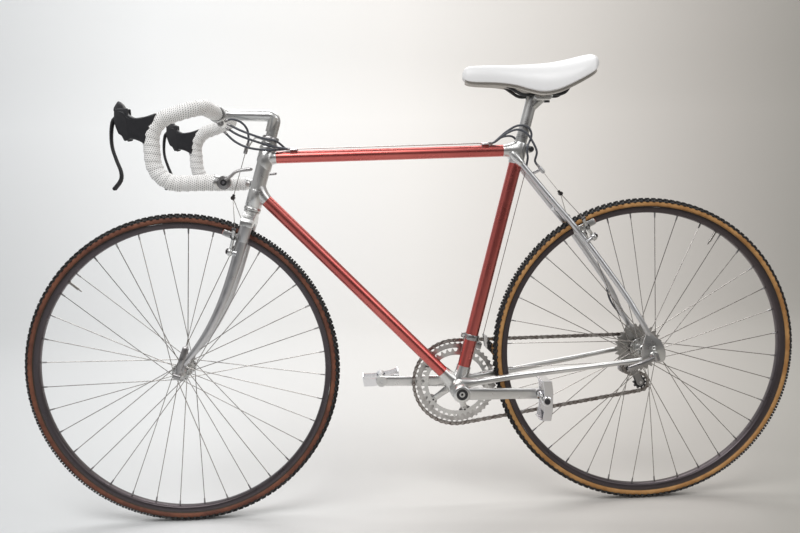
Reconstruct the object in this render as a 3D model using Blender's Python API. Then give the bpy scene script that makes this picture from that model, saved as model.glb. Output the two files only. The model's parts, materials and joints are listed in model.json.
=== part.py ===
"""A cyclocross bicycle: bonded tube frame, cantilever brakes, drop bars with bar-end shifters.

Metres, +Z up, +X towards the rear wheel, the rider's left side at -Y. The ground is z = 0
and the origin is halfway between the axles.
"""
import bpy
import bmesh
from math import asin, atan2, ceil, cos, hypot, pi, radians, sin, sqrt, tan
from mathutils import Matrix, Vector

# Wheels
TYRE_SEAT_RADIUS = 0.3200
TYRE_HEIGHT = 0.0200
TYRE_RADIUS = TYRE_SEAT_RADIUS + TYRE_HEIGHT
TYRE_WIDTH = 0.032
TREAD_DEPTH = 0.0028
KNOB_PITCHES = 60
RIM_DEPTH = 0.0123
RIM_WIDTH = 0.021
RIM_SEGMENTS = 40
SPOKES = 36
SPOKE_RADIUS = 0.0009
SPOKE_CROSS_DEG = 60.0
FRONT_FLANGE_RADIUS = 0.0195
REAR_FLANGE_RADIUS = 0.0225
FLANGE_THICKNESS = 0.0048
AXLE_RADIUS = 0.0045
FRONT_OVER_LOCKNUTS = 0.100
REAR_OVER_LOCKNUTS = 0.126

# Frame geometry
WHEELBASE = 1.019
CHAINSTAY_CLEARANCE = 0.0831
CHAINSTAY_LENGTH = TYRE_RADIUS + CHAINSTAY_CLEARANCE
BB_DROP = 0.067
HEAD_ANGLE_DEG = 72.8
SEAT_ANGLE_DEG = 74.4
FORK_RAKE = 0.0562
FORK_CLEARANCE = 0.0263
FORK_LENGTH = TYRE_RADIUS + FORK_CLEARANCE
HEAD_TUBE_LENGTH = 0.1215
HEAD_TOP = FORK_LENGTH + HEAD_TUBE_LENGTH
TOP_TUBE_BELOW_HEAD_TOP = 0.0143
DOWN_TUBE_ABOVE_HEAD_BOTTOM = 0.0330
SEAT_LUG_RISE = 0.0162
SEAT_LUG_HEIGHT = 0.0467

# Frame tubes
TOP_TUBE_RADIUS = 0.0128
DOWN_TUBE_RADIUS = 0.0132
SEAT_TUBE_RADIUS = 0.0143
TUBE_WALL = 0.0012
HEAD_TUBE_RADIUS = 0.0158
LUG_WALL = 0.0018
LUG_SLEEVE = 0.0110
SPIGOT_LENGTH = 0.020
CUP_RADIUS = 0.0185
CUP_HEIGHT = 0.0100
BB_SHELL_RADIUS = 0.0215
BB_SHELL_WIDTH = 0.068
SPINDLE_RADIUS = 0.0085
CHAINSTAY_RADIUS = 0.0080
SEATSTAY_RADIUS = 0.0066
STAY_TIP_RADIUS = 0.0055
DROPOUT_THICKNESS = 0.0055

# Fork, stem and bars
STEERER_RADIUS = 0.0127
STEERER_WALL = 0.0013
CROWN_HEIGHT = 0.034
BLADE_FORE_RADIUS = 0.0124
BLADE_SIDE_RADIUS = 0.0094
BLADE_TIP_RADIUS = 0.0058
BLADE_TOP_SPREAD = 0.0345
BLADE_CURVE = 3.2
STEM_REACH = 0.1188
STEM_RISE = HEAD_TOP + 0.0469
STEM_CORNER = HEAD_TOP + 0.0776
STEM_RADIUS = 0.0116
QUILL_RADIUS = 0.0110
BAR_RADIUS = 0.0119
BAR_BULGE = 0.0010
BAR_HALF_WIDTH = 0.190
BAR_FLARE = 0.015
BAR_REACH = 0.0945
BAR_DROP = 0.1455
BAR_RAMP_FALL = 0.0295
BAR_END_SETBACK = 0.0225
BAR_BEND = 0.045
TAPE_THICKNESS = 0.0031
TAPE_START = 0.034

# Seat
POST_RADIUS = 0.0126
POST_EXPOSED = 0.0986
POST_LENGTH = 0.215
SADDLE_LENGTH = 0.281
SADDLE_WIDTH = 0.141
SADDLE_NOSE_AHEAD = 0.168
RAIL_RADIUS = 0.0035
RAIL_SPACING = 0.043

# Drivetrain
CHAIN_PITCH = 0.0127
RING_TEETH = 48
INNER_RING_TEETH = 38
COG_TEETH = (13, 15, 18, 22, 26)
COG_PITCH = 0.0062
COG_THICKNESS = 0.0022
PULLEY_TEETH = 10
RING_LINE = 0.0460
COG_LINE = 0.0535
RING_THICKNESS = 0.0024
SPIDER_ARMS = 5
CRANK_LENGTH = 0.170
CRANK_TILT_DEG = 2.1
CRANK_OUTSET = 0.0612
PEDAL_LENGTH = 0.084
PEDAL_WIDTH = 0.054

# Brakes and cables
STUD_RADIUS = 0.0040
STUD_REACH = TYRE_SEAT_RADIUS - 0.035
PAD_GAP = 0.0020
ARM_HEIGHT = 0.052
HOUSING_RADIUS = 0.0024
WIRE_RADIUS = 0.0008

# Facets round a large, a middling and a slender round
LARGE = 14
MIDDLE = 12
SLENDER = 8

# Clearances
GAP = 0.0003
FIT = 0.0004
RUNNING = 0.0008

SIDES = (("left", -1), ("right", 1))
X, Y, Z = Vector((1, 0, 0)), Vector((0, 1, 0)), Vector((0, 0, 1))

# Datums that follow from the driving sizes
HEAD = radians(HEAD_ANGLE_DEG)
SEAT = radians(SEAT_ANGLE_DEG)
FRONT = Vector((-WHEELBASE / 2, 0, TYRE_RADIUS))
REAR = Vector((WHEELBASE / 2, 0, TYRE_RADIUS))
BOTTOM = REAR - Vector((sqrt(CHAINSTAY_LENGTH ** 2 - BB_DROP ** 2), 0, BB_DROP))
STEER_UP = Vector((cos(HEAD), 0, sin(HEAD)))
STEER_FORE = Vector((-sin(HEAD), 0, cos(HEAD)))
STEER_FOOT = FRONT + X * (FORK_RAKE / sin(HEAD))
SEAT_UP = Vector((cos(SEAT), 0, sin(SEAT)))
SEAT_BACK = Vector((sin(SEAT), 0, -cos(SEAT)))
RIM_INNER_RADIUS = TYRE_SEAT_RADIUS - GAP - RIM_DEPTH
FRONT_TIP_FACE = FRONT_OVER_LOCKNUTS / 2 + GAP
REAR_TIP_FACE = REAR_OVER_LOCKNUTS / 2 + GAP


def steer(along, fore=0.0, side=0.0):
    """A point measured from the foot of the steering axis at axle height."""
    return STEER_FOOT + STEER_UP * along + STEER_FORE * fore + Y * side


def seat(along, back=0.0, side=0.0):
    """A point measured from the bottom bracket along the seat tube."""
    return BOTTOM + SEAT_UP * along + SEAT_BACK * back + Y * side


BAR = steer(STEM_RISE, STEM_REACH)
TOP_FRONT = steer(HEAD_TOP - TOP_TUBE_BELOW_HEAD_TOP)
SEAT_CROSSING = (TOP_FRONT.z - BOTTOM.z) / sin(SEAT)
TOP_REAR = seat(SEAT_CROSSING)
SEAT_LUG_TOP = SEAT_CROSSING + SEAT_LUG_RISE
POST_TOP = SEAT_LUG_TOP + POST_EXPOSED
DOWN_FRONT = steer(FORK_LENGTH + DOWN_TUBE_ABOVE_HEAD_BOTTOM)
DOWN_ALONG = (DOWN_FRONT - BOTTOM).normalized()


def by_head(x, y, z):
    """A point measured from where the top tube meets the head tube."""
    return TOP_FRONT + Vector((x, y, z))


def by_seat(x, y, z):
    """A point measured from where the top tube meets the seat tube."""
    return TOP_REAR + Vector((x, y, z))


def material(name, colour, roughness, metallic):
    look = bpy.data.materials.new(name)
    look.use_nodes = True
    shader = look.node_tree.nodes["Principled BSDF"]
    shader.inputs["Base Color"].default_value = (*colour, 1.0)
    shader.inputs["Roughness"].default_value = roughness
    shader.inputs["Metallic"].default_value = metallic
    look.diffuse_color = (*colour, 1.0)
    return look


def solid(name, points, faces, look):
    """An object from points and faces, with its normals turned outwards."""
    mesh = bpy.data.meshes.new(name)
    mesh.from_pydata(points, [], faces)
    work = bmesh.new()
    work.from_mesh(mesh)
    bmesh.ops.recalc_face_normals(work, faces=work.faces)
    work.to_mesh(mesh)
    work.free()
    mesh.materials.append(look)
    mesh.shade_smooth()
    mesh.set_sharp_from_angle(angle=radians(35))
    made = bpy.data.objects.new(name, mesh)
    bpy.context.scene.collection.objects.link(made)
    return made


def skin(name, rings, look, closed=False):
    """Bridge rings of equal count, and cap the ends unless they close on themselves."""
    count, size = len(rings), len(rings[0])
    faces = []
    for i in range(count if closed else count - 1):
        j = (i + 1) % count
        for k in range(size):
            m = (k + 1) % size
            faces.append((i * size + k, i * size + m, j * size + m, j * size + k))
    if not closed:
        faces.append(tuple(reversed(range(size))))
        faces.append(tuple((count - 1) * size + k for k in range(size)))
    return solid(name, [p for ring in rings for p in ring], faces, look)


def circle(centre, a, b, radius_a, radius_b, sides):
    steps = [2 * pi * (k + 0.5) / sides for k in range(sides)]
    return [centre + a * (radius_a * cos(t)) + b * (radius_b * sin(t)) for t in steps]


def across(axis):
    """Two unit vectors square to an axis."""
    guide = Z if abs(axis.z) < 0.9 else X
    a = axis.cross(guide).normalized()
    return a, axis.cross(a).normalized()


def turned(name, origin, axis, profile, look, sides=MIDDLE, hollow=False):
    """A turned shape: profile holds (radius, height) pairs along the axis."""
    a, b = across(axis)
    rings = [circle(origin + axis * h, a, b, r, r, sides) for r, h in profile]
    return skin(name, rings, look, closed=hollow)


def rod(name, start, end, radius, look, sides=MIDDLE):
    along = end - start
    return turned(name, start, along.normalized(), [(radius, 0), (radius, along.length)], look, sides)


def pipe(name, start, end, radius, bore, look, sides=MIDDLE):
    along = end - start
    reach = along.length
    profile = [(radius, 0), (radius, reach), (bore, reach), (bore, 0)]
    return turned(name, start, along.normalized(), profile, look, sides, hollow=True)


def frames_along(path, up):
    """Carry a pair of cross directions along a path without twisting them."""
    frames = []
    for i, point in enumerate(path):
        ahead = (path[min(i + 1, len(path) - 1)] - path[max(i - 1, 0)]).normalized()
        up = (up - ahead * up.dot(ahead)).normalized()
        frames.append((point, up, ahead.cross(up).normalized()))
    return frames


def sweep(name, frames, radii, look, sides=MIDDLE, flat=1.0, bore=None):
    """A tube through frames; flat scales its second direction, bore makes it hollow."""
    spread = radii if isinstance(radii, (list, tuple)) else [radii] * len(frames)
    squash = flat if isinstance(flat, (list, tuple)) else [flat] * len(frames)
    rings = [circle(p, a, b, r, r * f, sides) for (p, a, b), r, f in zip(frames, spread, squash)]
    if bore:
        rings += [circle(p, a, b, bore, bore, sides) for p, a, b in reversed(frames)]
    return skin(name, rings, look, closed=bool(bore))


def plate(name, outline, origin, u, v, w, low, high, look):
    """An outline of (u, v) pairs given thickness from low to high along w."""
    rings = [[origin + u * a + v * b + w * c for a, b in outline] for c in (low, high)]
    return skin(name, rings, look)


def rounded(corners, segments=4):
    """A path through corners, each turned by an arc of its own radius."""
    path = [corners[0][0]]
    for (a, _), (b, radius), (c, _) in zip(corners, corners[1:], corners[2:]):
        back, on = (a - b).normalized(), (c - b).normalized()
        half = back.angle(on) / 2
        start = b + back * (radius / tan(half))
        centre = b + (back + on).normalized() * (radius / sin(half))
        spin = (start - centre).cross(b + on * (radius / tan(half)) - centre).normalized()
        for k in range(segments + 1):
            turn = Matrix.Rotation((pi - 2 * half) * k / segments, 3, spin)
            path.append(centre + turn @ (start - centre))
    path.append(corners[-1][0])
    return path


def smooth_curve(points, step):
    """A Catmull-Rom curve through hand-placed points, read off about every step."""
    ends = [points[0] * 2 - points[1], *points, points[-1] * 2 - points[-2]]
    path = []
    for a, b, c, d in zip(ends, ends[1:], ends[2:], ends[3:]):
        per_span = max(1, round((c - b).length / step))
        for k in range(per_span):
            t = k / per_span
            path.append((b * 2 + (c - a) * t + (a * 2 - b * 5 + c * 4 - d) * t * t
                         + (b * 3 - a - c * 3 + d) * t ** 3) / 2)
    return path + [points[-1]]


def combine(base, pieces, operation):
    """Apply one Boolean after another, and remove the pieces that were used."""
    look = base.data.materials[0]
    for piece in pieces:
        step = base.modifiers.new(operation.lower(), "BOOLEAN")
        step.operation = operation
        step.solver = "EXACT"
        step.object = piece
    bpy.context.view_layer.update()
    shape = base.evaluated_get(bpy.context.evaluated_depsgraph_get())
    mesh = bpy.data.meshes.new_from_object(shape)
    base.modifiers.clear()
    base.data = mesh
    mesh.materials.clear()
    mesh.materials.append(look)
    for polygon in mesh.polygons:
        polygon.material_index = 0
    for piece in pieces:
        bpy.data.objects.remove(piece, do_unlink=True)
    return base


def join(base, *pieces):
    return combine(base, pieces, "UNION")


def cut(base, *pieces):
    return combine(base, pieces, "DIFFERENCE")


def soften(made, width, segments=1):
    """Round a solid's hard edges with a bevel that is applied."""
    step = made.modifiers.new("round", "BEVEL")
    step.width = width
    step.segments = segments
    step.limit_method = "ANGLE"
    step.angle_limit = radians(40)
    return combine(made, (), "UNION")


for leftover in list(bpy.data.objects):
    bpy.data.objects.remove(leftover, do_unlink=True)

RED = material("red_anodised", (0.42, 0.035, 0.03), 0.28, 0.85)
SILVER = material("polished_aluminium", (0.72, 0.72, 0.73), 0.22, 1.0)
GREY = material("grey_alloy", (0.33, 0.32, 0.32), 0.35, 0.9)
CHROME = material("chrome", (0.8, 0.8, 0.82), 0.08, 1.0)
DARK_RIM = material("dark_anodised", (0.06, 0.055, 0.06), 0.35, 0.8)
RUBBER = material("tread_rubber", (0.02, 0.02, 0.022), 0.75, 0.0)
BLACK = material("black_plastic", (0.02, 0.02, 0.022), 0.5, 0.0)
STEEL = material("chain_steel", (0.25, 0.22, 0.2), 0.4, 0.9)
WHITE = material("white_leather", (0.85, 0.85, 0.84), 0.45, 0.0)
TAPE = material("white_tape", (0.82, 0.82, 0.8), 0.7, 0.0)
HOUSING = material("cable_housing", (0.12, 0.125, 0.14), 0.45, 0.0)


# Frame
def tube_end(origin, along, reach, sleeve, bore, sides=MIDDLE):
    """A lug's sleeve, with the spigot that goes up inside its hollow tube."""
    inside = bore - GAP
    profile = [(sleeve, 0), (sleeve, reach), (inside, reach), (inside, reach + SPIGOT_LENGTH)]
    return turned("end", origin, along, profile, SILVER, sides)


TOP_BORE = TOP_TUBE_RADIUS - TUBE_WALL
DOWN_BORE = DOWN_TUBE_RADIUS - TUBE_WALL
SEAT_BORE = SEAT_TUBE_RADIUS - TUBE_WALL
LUG_RADIUS = HEAD_TUBE_RADIUS + LUG_WALL
HEAD_BORE = STEERER_RADIUS + RUNNING
HEAD_LUG_RISE = 0.036
HEAD_LUG_DROP = 0.030
TOP_SLEEVE_REACH = LUG_RADIUS + LUG_SLEEVE / 2
DOWN_SLEEVE_REACH = LUG_RADIUS + LUG_SLEEVE


def make_head_tube():
    low, high = FORK_LENGTH, HEAD_TOP
    profile = [(CUP_RADIUS - LUG_WALL, low - CUP_HEIGHT), (CUP_RADIUS, low - CUP_HEIGHT * 0.7),
               (CUP_RADIUS, low), (LUG_RADIUS, low), (LUG_RADIUS, low + HEAD_LUG_RISE),
               (HEAD_TUBE_RADIUS, low + HEAD_LUG_RISE + GAP),
               (HEAD_TUBE_RADIUS, high - HEAD_LUG_DROP - GAP),
               (LUG_RADIUS, high - HEAD_LUG_DROP), (LUG_RADIUS, high),
               (CUP_RADIUS, high), (CUP_RADIUS, high + CUP_HEIGHT * 0.7),
               (CUP_RADIUS - LUG_WALL, high + CUP_HEIGHT)]
    body = turned("head_tube", STEER_FOOT, STEER_UP, profile, SILVER, LARGE)
    top_end = tube_end(TOP_FRONT, X, TOP_SLEEVE_REACH, TOP_TUBE_RADIUS + LUG_WALL / 2, TOP_BORE)
    down_end = tube_end(DOWN_FRONT, -DOWN_ALONG, DOWN_SLEEVE_REACH,
                        DOWN_TUBE_RADIUS + LUG_WALL / 2, DOWN_BORE)
    bore = rod("bore", steer(low - 2 * CUP_HEIGHT), steer(high + 2 * CUP_HEIGHT), HEAD_BORE,
               SILVER, LARGE)
    return cut(join(body, top_end, down_end), bore)


STOP_LENGTH = 0.016
STOP_HEIGHT = 0.0075
STOP_HALF_WIDTH = 0.0115
FRONT_STOP_BEHIND = 0.0532
REAR_STOP_AHEAD = 0.0822
STOP_PLACES = (TOP_FRONT + X * FRONT_STOP_BEHIND, TOP_REAR - X * REAR_STOP_AHEAD)
WIRE_LANES = (-0.0070, 0.0, 0.0070)
WIRE_HEIGHT = TOP_FRONT.z + TOP_TUBE_RADIUS + 0.0042
TOP_TUBE_START = TOP_FRONT + X * (TOP_SLEEVE_REACH + GAP)
SEAT_SLEEVE_REACH = SEAT_TUBE_RADIUS + LUG_WALL + LUG_SLEEVE * 1.7
TOP_TUBE_END = TOP_REAR - X * (SEAT_SLEEVE_REACH + GAP)


def make_top_tube():
    """The top tube carries a riveted cable stop near each end, grooved for three wires."""
    tube = pipe("top_tube", TOP_TUBE_START, TOP_TUBE_END, TOP_TUBE_RADIUS, TOP_BORE, RED)
    crown = TOP_TUBE_RADIUS
    outline = [(-STOP_HALF_WIDTH, crown * 0.3), (STOP_HALF_WIDTH, crown * 0.3),
               (STOP_HALF_WIDTH, crown + STOP_HEIGHT * 0.6), (STOP_HALF_WIDTH * 0.8, crown + STOP_HEIGHT),
               (-STOP_HALF_WIDTH * 0.8, crown + STOP_HEIGHT),
               (-STOP_HALF_WIDTH, crown + STOP_HEIGHT * 0.6)]
    stops = []
    for foot in STOP_PLACES:
        block = plate("stop", outline, foot, Y, Z, X, 0, STOP_LENGTH, RED)
        inside = rod("inside", foot - X * STOP_LENGTH, foot + X * 2 * STOP_LENGTH,
                     TOP_TUBE_RADIUS - TUBE_WALL / 2, RED)
        stops.append(cut(block, inside))
    tube = join(tube, *stops)
    lanes = []
    for lane in WIRE_LANES:
        for foot in STOP_PLACES:
            low = Vector((foot.x - STOP_LENGTH, lane, WIRE_HEIGHT))
            lanes.append(rod("lane", low, low + X * 3 * STOP_LENGTH, WIRE_RADIUS + RUNNING, RED, 4))
    return cut(tube, *lanes)


BB_SLEEVE_REACH = 0.0500
DOWN_TUBE_START = BOTTOM + DOWN_ALONG * (BB_SLEEVE_REACH + GAP)
DOWN_TUBE_END = DOWN_FRONT - DOWN_ALONG * (DOWN_SLEEVE_REACH + GAP)
LUG_COUNTERBORE = 0.015
SEAT_LUG_BOTTOM = SEAT_LUG_TOP - SEAT_LUG_HEIGHT
SEAT_LUG_RADIUS = SEAT_TUBE_RADIUS + LUG_WALL + GAP
STAY_SOCKET_RADIUS = SEATSTAY_RADIUS + LUG_WALL


def make_tubes():
    pipe("down_tube", DOWN_TUBE_START, DOWN_TUBE_END, DOWN_TUBE_RADIUS, DOWN_BORE, RED)
    pipe("seat_tube", seat(BB_SLEEVE_REACH + GAP), seat(SEAT_LUG_BOTTOM + LUG_COUNTERBORE - GAP),
         SEAT_TUBE_RADIUS, SEAT_BORE, RED, LARGE)


# Seatstay stations: share of the way down, bow to the rear, half spread
STAY_SOCKET = (0.0, 0.0, 0.0197)
STAY_BEND = (0.4341, 0.0123, 0.034)
STAY_LOWER = (0.7645, 0.0116, 0.050)
STAY_TOP = seat(SEAT_LUG_TOP - SEAT_LUG_HEIGHT + 0.0009, 0.0106)
STAY_SOCKET_LENGTH = 0.034
STAY_FOOT_AHEAD = 0.0115
STAY_FOOT_ABOVE = 0.0500
DROPOUT_MIDDLE = REAR_TIP_FACE + DROPOUT_THICKNESS / 2


def stay_foot(side):
    return REAR + Vector((-STAY_FOOT_AHEAD, DROPOUT_MIDDLE * side, STAY_FOOT_ABOVE))


def stay_point(station, side):
    share, bow, spread = station
    down = stay_foot(0) - STAY_TOP
    back = Vector((-down.z, 0, down.x)).normalized()
    return STAY_TOP + down * share + back * bow + Y * side * spread


def make_seat_lug():
    profile = [(SEAT_LUG_RADIUS - LUG_WALL / 2, SEAT_LUG_BOTTOM),
               (SEAT_LUG_RADIUS, SEAT_LUG_BOTTOM + LUG_WALL),
               (SEAT_LUG_RADIUS, SEAT_LUG_TOP - LUG_WALL),
               (SEAT_LUG_RADIUS - LUG_WALL / 2, SEAT_LUG_TOP)]
    lug = turned("seat_lug", BOTTOM, SEAT_UP, profile, SILVER, LARGE)
    top_end = tube_end(TOP_REAR, -X, SEAT_SLEEVE_REACH, TOP_TUBE_RADIUS + LUG_WALL / 2, TOP_BORE)
    ear_half, ear_back, ear_height = 0.0095, SEAT_LUG_RADIUS + 0.014, 0.016
    ears = plate("ears", [(0, -ear_height), (ear_back, -ear_height), (ear_back, -0.002), (0, -0.001)],
                 seat(SEAT_LUG_TOP), SEAT_BACK, SEAT_UP, Y, -ear_half, ear_half, SILVER)
    sockets = []
    for _, side in SIDES:
        end = stay_point(STAY_SOCKET, side)
        aim = (stay_point(STAY_BEND, side) - end).normalized()
        sockets.append(rod("socket", end - aim * STAY_SOCKET_LENGTH, end, STAY_SOCKET_RADIUS, SILVER,
                           SLENDER))
    join(lug, top_end, ears, *sockets)
    slot = plate("slot", [(0, -0.024), (0.05, -0.024), (0.05, 0.004), (0, 0.004)],
                 seat(SEAT_LUG_TOP), SEAT_BACK, SEAT_UP, Y, -0.0009, 0.0009, SILVER)
    bore = rod("bore", seat(SEAT_LUG_BOTTOM - 0.01), seat(SEAT_LUG_TOP + 0.01), POST_RADIUS + FIT,
               SILVER, LARGE)
    counterbore = rod("counterbore", seat(SEAT_LUG_BOTTOM - 0.02),
                      seat(SEAT_LUG_BOTTOM + LUG_COUNTERBORE), SEAT_TUBE_RADIUS + GAP, SILVER, LARGE)
    cut(lug, slot, bore, counterbore)
    bolt_at = seat(SEAT_LUG_TOP - ear_height / 2, ear_back - 0.0065)
    bolt = turned("bolt", bolt_at, Y, [(0.0048, -0.0145), (0.0048, -0.009), (0.003, -0.009),
                                        (0.003, 0.009), (0.0048, 0.009), (0.0048, 0.0125)],
                  SILVER, SLENDER)
    return join(lug, bolt)


CHAINSTAY_SOCKET = 0.040
CHAINSTAY_START_SPREAD = 0.0265


def chainstay_path(side):
    """From the bracket shell's socket, out round the tyre and rings, to the dropout."""
    start = BOTTOM + Vector((CHAINSTAY_SOCKET, CHAINSTAY_START_SPREAD * side, 0.0165))
    end = REAR + Vector((-0.026, DROPOUT_MIDDLE * side, -0.0085))
    points = []
    for t, spread in ((0.0, CHAINSTAY_START_SPREAD), (0.12, 0.0285), (0.3, 0.0330),
                      (0.62, 0.0480), (0.85, 0.0600), (1.0, DROPOUT_MIDDLE)):
        point = start.lerp(end, t)
        point.y = spread * side
        points.append(point)
    return points


def make_bb_shell():
    half = BB_SHELL_WIDTH / 2
    shell = turned("bb_shell", BOTTOM, Y, [(BB_SHELL_RADIUS - 0.001, -half), (BB_SHELL_RADIUS, 0.001 - half),
                                          (BB_SHELL_RADIUS, half - 0.001),
                                          (BB_SHELL_RADIUS - 0.001, half)], SILVER, LARGE)
    down_end = tube_end(BOTTOM, DOWN_ALONG, BB_SLEEVE_REACH, DOWN_TUBE_RADIUS + LUG_WALL, DOWN_BORE)
    seat_end = tube_end(BOTTOM, SEAT_UP, BB_SLEEVE_REACH, SEAT_TUBE_RADIUS + LUG_WALL, SEAT_BORE, LARGE)
    sockets = []
    for _, side in SIDES:
        path = chainstay_path(side)
        aim = (path[1] - path[0]).normalized()
        sockets.append(rod("socket", path[0] - aim * (CHAINSTAY_SOCKET - 0.006), path[0] - aim * GAP,
                           CHAINSTAY_RADIUS + LUG_WALL / 2, SILVER, SLENDER))
    bore = rod("bore", BOTTOM - Y * BB_SHELL_WIDTH, BOTTOM + Y * BB_SHELL_WIDTH,
               SPINDLE_RADIUS + FIT, SILVER)
    return cut(join(shell, down_end, seat_end, *sockets), bore)


SLOT_HALF = AXLE_RADIUS + FIT


def slot_outline(centre_x, centre_z, floor):
    """A slot open at the bottom, round at the axle."""
    arc = [(centre_x + SLOT_HALF * cos(t), centre_z + SLOT_HALF * sin(t))
           for t in (radians(a) for a in (0, 45, 90, 135, 180))]
    return [(centre_x + SLOT_HALF, floor), *arc, (centre_x - SLOT_HALF, floor)]


HANGER_DROP = 0.028
KNUCKLE_RADIUS = 0.0095
KNUCKLE = REAR + Vector((0.0025, 0, -HANGER_DROP))


def make_chainstay(label, side):
    path = chainstay_path(side)
    radii = [CHAINSTAY_RADIUS, CHAINSTAY_RADIUS, CHAINSTAY_RADIUS * 0.9,
             STAY_TIP_RADIUS * 1.15, STAY_TIP_RADIUS, STAY_TIP_RADIUS * 0.8]
    flat = [1.0, 0.9, 0.85, 1.0, 1.0, 0.7]
    stay = sweep(f"chainstay_{label}", frames_along(path, Z), radii, SILVER, SLENDER, flat)
    foot = stay_foot(side) - REAR
    lower = stay_point(STAY_LOWER, side) - REAR
    aim = Vector((foot.x - lower.x, 0, foot.z - lower.z)).normalized()
    edge = Vector((-aim.z, 0, aim.x)) * STAY_TIP_RADIUS * 1.25
    top = Vector((foot.x, 0, foot.z)) + aim * GAP
    rear_top, front_top = (top + edge, top - edge) if edge.x > 0 else (top - edge, top + edge)
    outline = [(front_top.x, front_top.z), (rear_top.x, rear_top.z), (0.0160, 0.0330),
               (0.0250, 0.0100), (0.0265, 0.0000), (0.0245, -0.0110), (0.0130, -0.0160),
               *slot_outline(0, 0, -0.0160), (-0.0140, -0.0150), (-0.0290, -0.0120),
               (-0.0265, 0.0000), (-0.0255, 0.0250)]
    low, high = sorted((REAR_TIP_FACE * side, (REAR_TIP_FACE + DROPOUT_THICKNESS) * side))
    drop = plate("dropout", outline, REAR, X, Z, Y, low, high, SILVER)
    join(stay, drop)
    if side > 0:
        face = REAR_TIP_FACE + DROPOUT_THICKNESS
        tab = plate("hanger", [(-0.0060, -0.0360), (0.0110, -0.0360), (0.0200, -0.0120), (0.0075, -0.0120),
                               (0.0070, -0.0180), (-0.0070, -0.0220)],
                    REAR, X, Z, Y, REAR_TIP_FACE + GAP, face - GAP, SILVER)
        knuckle = rod("knuckle", KNUCKLE + Y * (face - 0.003), KNUCKLE + Y * (face + 0.013),
                      KNUCKLE_RADIUS, SILVER)
        join(stay, tab, knuckle)
    return stay


BRIDGE_CLEARANCE = 0.0364
CARRIER_CLEARANCE = 0.0596
CARRIER_BEARING_DEG = 117.17
REAR_HANGER = by_seat(0.0488, 0, -0.0433)
CARRIER_WAY = Vector((cos(radians(CARRIER_BEARING_DEG)), 0, sin(radians(CARRIER_BEARING_DEG))))
REAR_CARRIER = REAR + CARRIER_WAY * (TYRE_RADIUS + CARRIER_CLEARANCE)


def make_seatstay(label, side):
    socket_end = stay_point(STAY_SOCKET, side)
    start = socket_end + (stay_point(STAY_BEND, side) - socket_end).normalized() * GAP
    bend, lower, foot = stay_point(STAY_BEND, side), stay_point(STAY_LOWER, side), stay_foot(side)
    ankle = lower.lerp(foot, 0.6)
    ankle.y = foot.y
    path = [start, start.lerp(bend, 0.5), bend, lower, ankle, foot]
    radii = [SEATSTAY_RADIUS, SEATSTAY_RADIUS, SEATSTAY_RADIUS, 0.0061, STAY_TIP_RADIUS, STAY_TIP_RADIUS]
    stay = sweep(f"seatstay_{label}", frames_along(path, X), radii, SILVER, SLENDER)
    extras = [stud(side, *rear_brake_frame(side), "rear_stud")]
    if side < 0:
        at = at_reach(lambda share: start.lerp(bend, share), REAR, TYRE_RADIUS + BRIDGE_CLEARANCE)
        reach = -at.y - SEATSTAY_RADIUS - GAP * 3
        extras.append(rod("bridge", at, Vector((at.x, reach, at.z)), 0.0052, SILVER, SLENDER))
    else:
        aim = (REAR_CARRIER - REAR_HANGER).normalized()
        hanger = REAR_HANGER
        hold = start.lerp(bend, 0.14)
        arm_path = [hold, hold + Vector((0.012, -0.006, 0.002)), hanger + Y * 0.003]
        arm = sweep("arm", frames_along(arm_path, Z), 0.0032, SILVER, 6)
        barrel = rod("barrel", hanger - aim * 0.006, hanger + aim * 0.010, 0.0042, SILVER, SLENDER)
        hole = rod("hole", hanger - aim * 0.02, hanger + aim * 0.03, WIRE_RADIUS + RUNNING, SILVER, 4)
        extras.append(cut(join(barrel, arm), hole))
    return join(stay, *extras)


# Cantilever brakes: each arm turns on a stud, and its pad meets the rim's side
STUD_LENGTH = 0.015
STUD_SPREAD = 0.0405


def at_reach(place, axle, reach, steps=600):
    """The point of a path, given by its share from 0 to 1, that lies nearest a distance from an axle."""
    miss = [(abs((place(k / steps) - axle).xz.length - reach), k) for k in range(steps + 1)]
    return place(min(miss)[1] / steps)


def rear_brake_frame(side):
    """Origin on the stud's axis, up along the stay, and outwards off its rear face."""
    high, low = stay_point(STAY_BEND, side), stay_point(STAY_LOWER, side)
    at = at_reach(lambda share: high.lerp(low, share * 3 - 1), REAR, STUD_REACH)
    up = Vector((high.x - low.x, 0, high.z - low.z)).normalized()
    return Vector((at.x, STUD_SPREAD * side, at.z)), up, Vector((up.z, 0, -up.x)), REAR


def blade_point(along, side):
    """The centre of a fork blade: straight at the crown, then curving out to the rake."""
    top = FORK_LENGTH - CUP_HEIGHT - CROWN_HEIGHT
    share = max(0.0, 1 - along / top)
    spread = BLADE_TOP_SPREAD + (FRONT_TIP_FACE + DROPOUT_THICKNESS / 2 - BLADE_TOP_SPREAD) * share
    return steer(along, FORK_RAKE * share ** BLADE_CURVE, spread * side)


def front_brake_frame(side):
    top = FORK_LENGTH - CUP_HEIGHT - CROWN_HEIGHT
    at = at_reach(lambda share: blade_point(top * share, side), FRONT, STUD_REACH)
    return Vector((at.x, STUD_SPREAD * side, at.z)), STEER_UP, STEER_FORE, FRONT


def stud(side, at, up, out, axle, name):
    start = at + out * 0.003
    return rod(name, start, at + out * (BLADE_FORE_RADIUS + STUD_LENGTH), STUD_RADIUS, SILVER, SLENDER)


PAD_LENGTH = 0.050
PAD_DEPTH = 0.0085
PAD_HEIGHT = 0.010
ARM_OUT = BLADE_FORE_RADIUS + GAP * 4


def pad_height(at, up, axle):
    """How far up from a point the middle of the rim's side is met."""
    reach = (at - axle).xz
    ahead = reach.dot(up.xz)
    target = RIM_INNER_RADIUS + RIM_DEPTH / 2
    return sqrt(ahead ** 2 - reach.length_squared + target ** 2) - ahead


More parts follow.
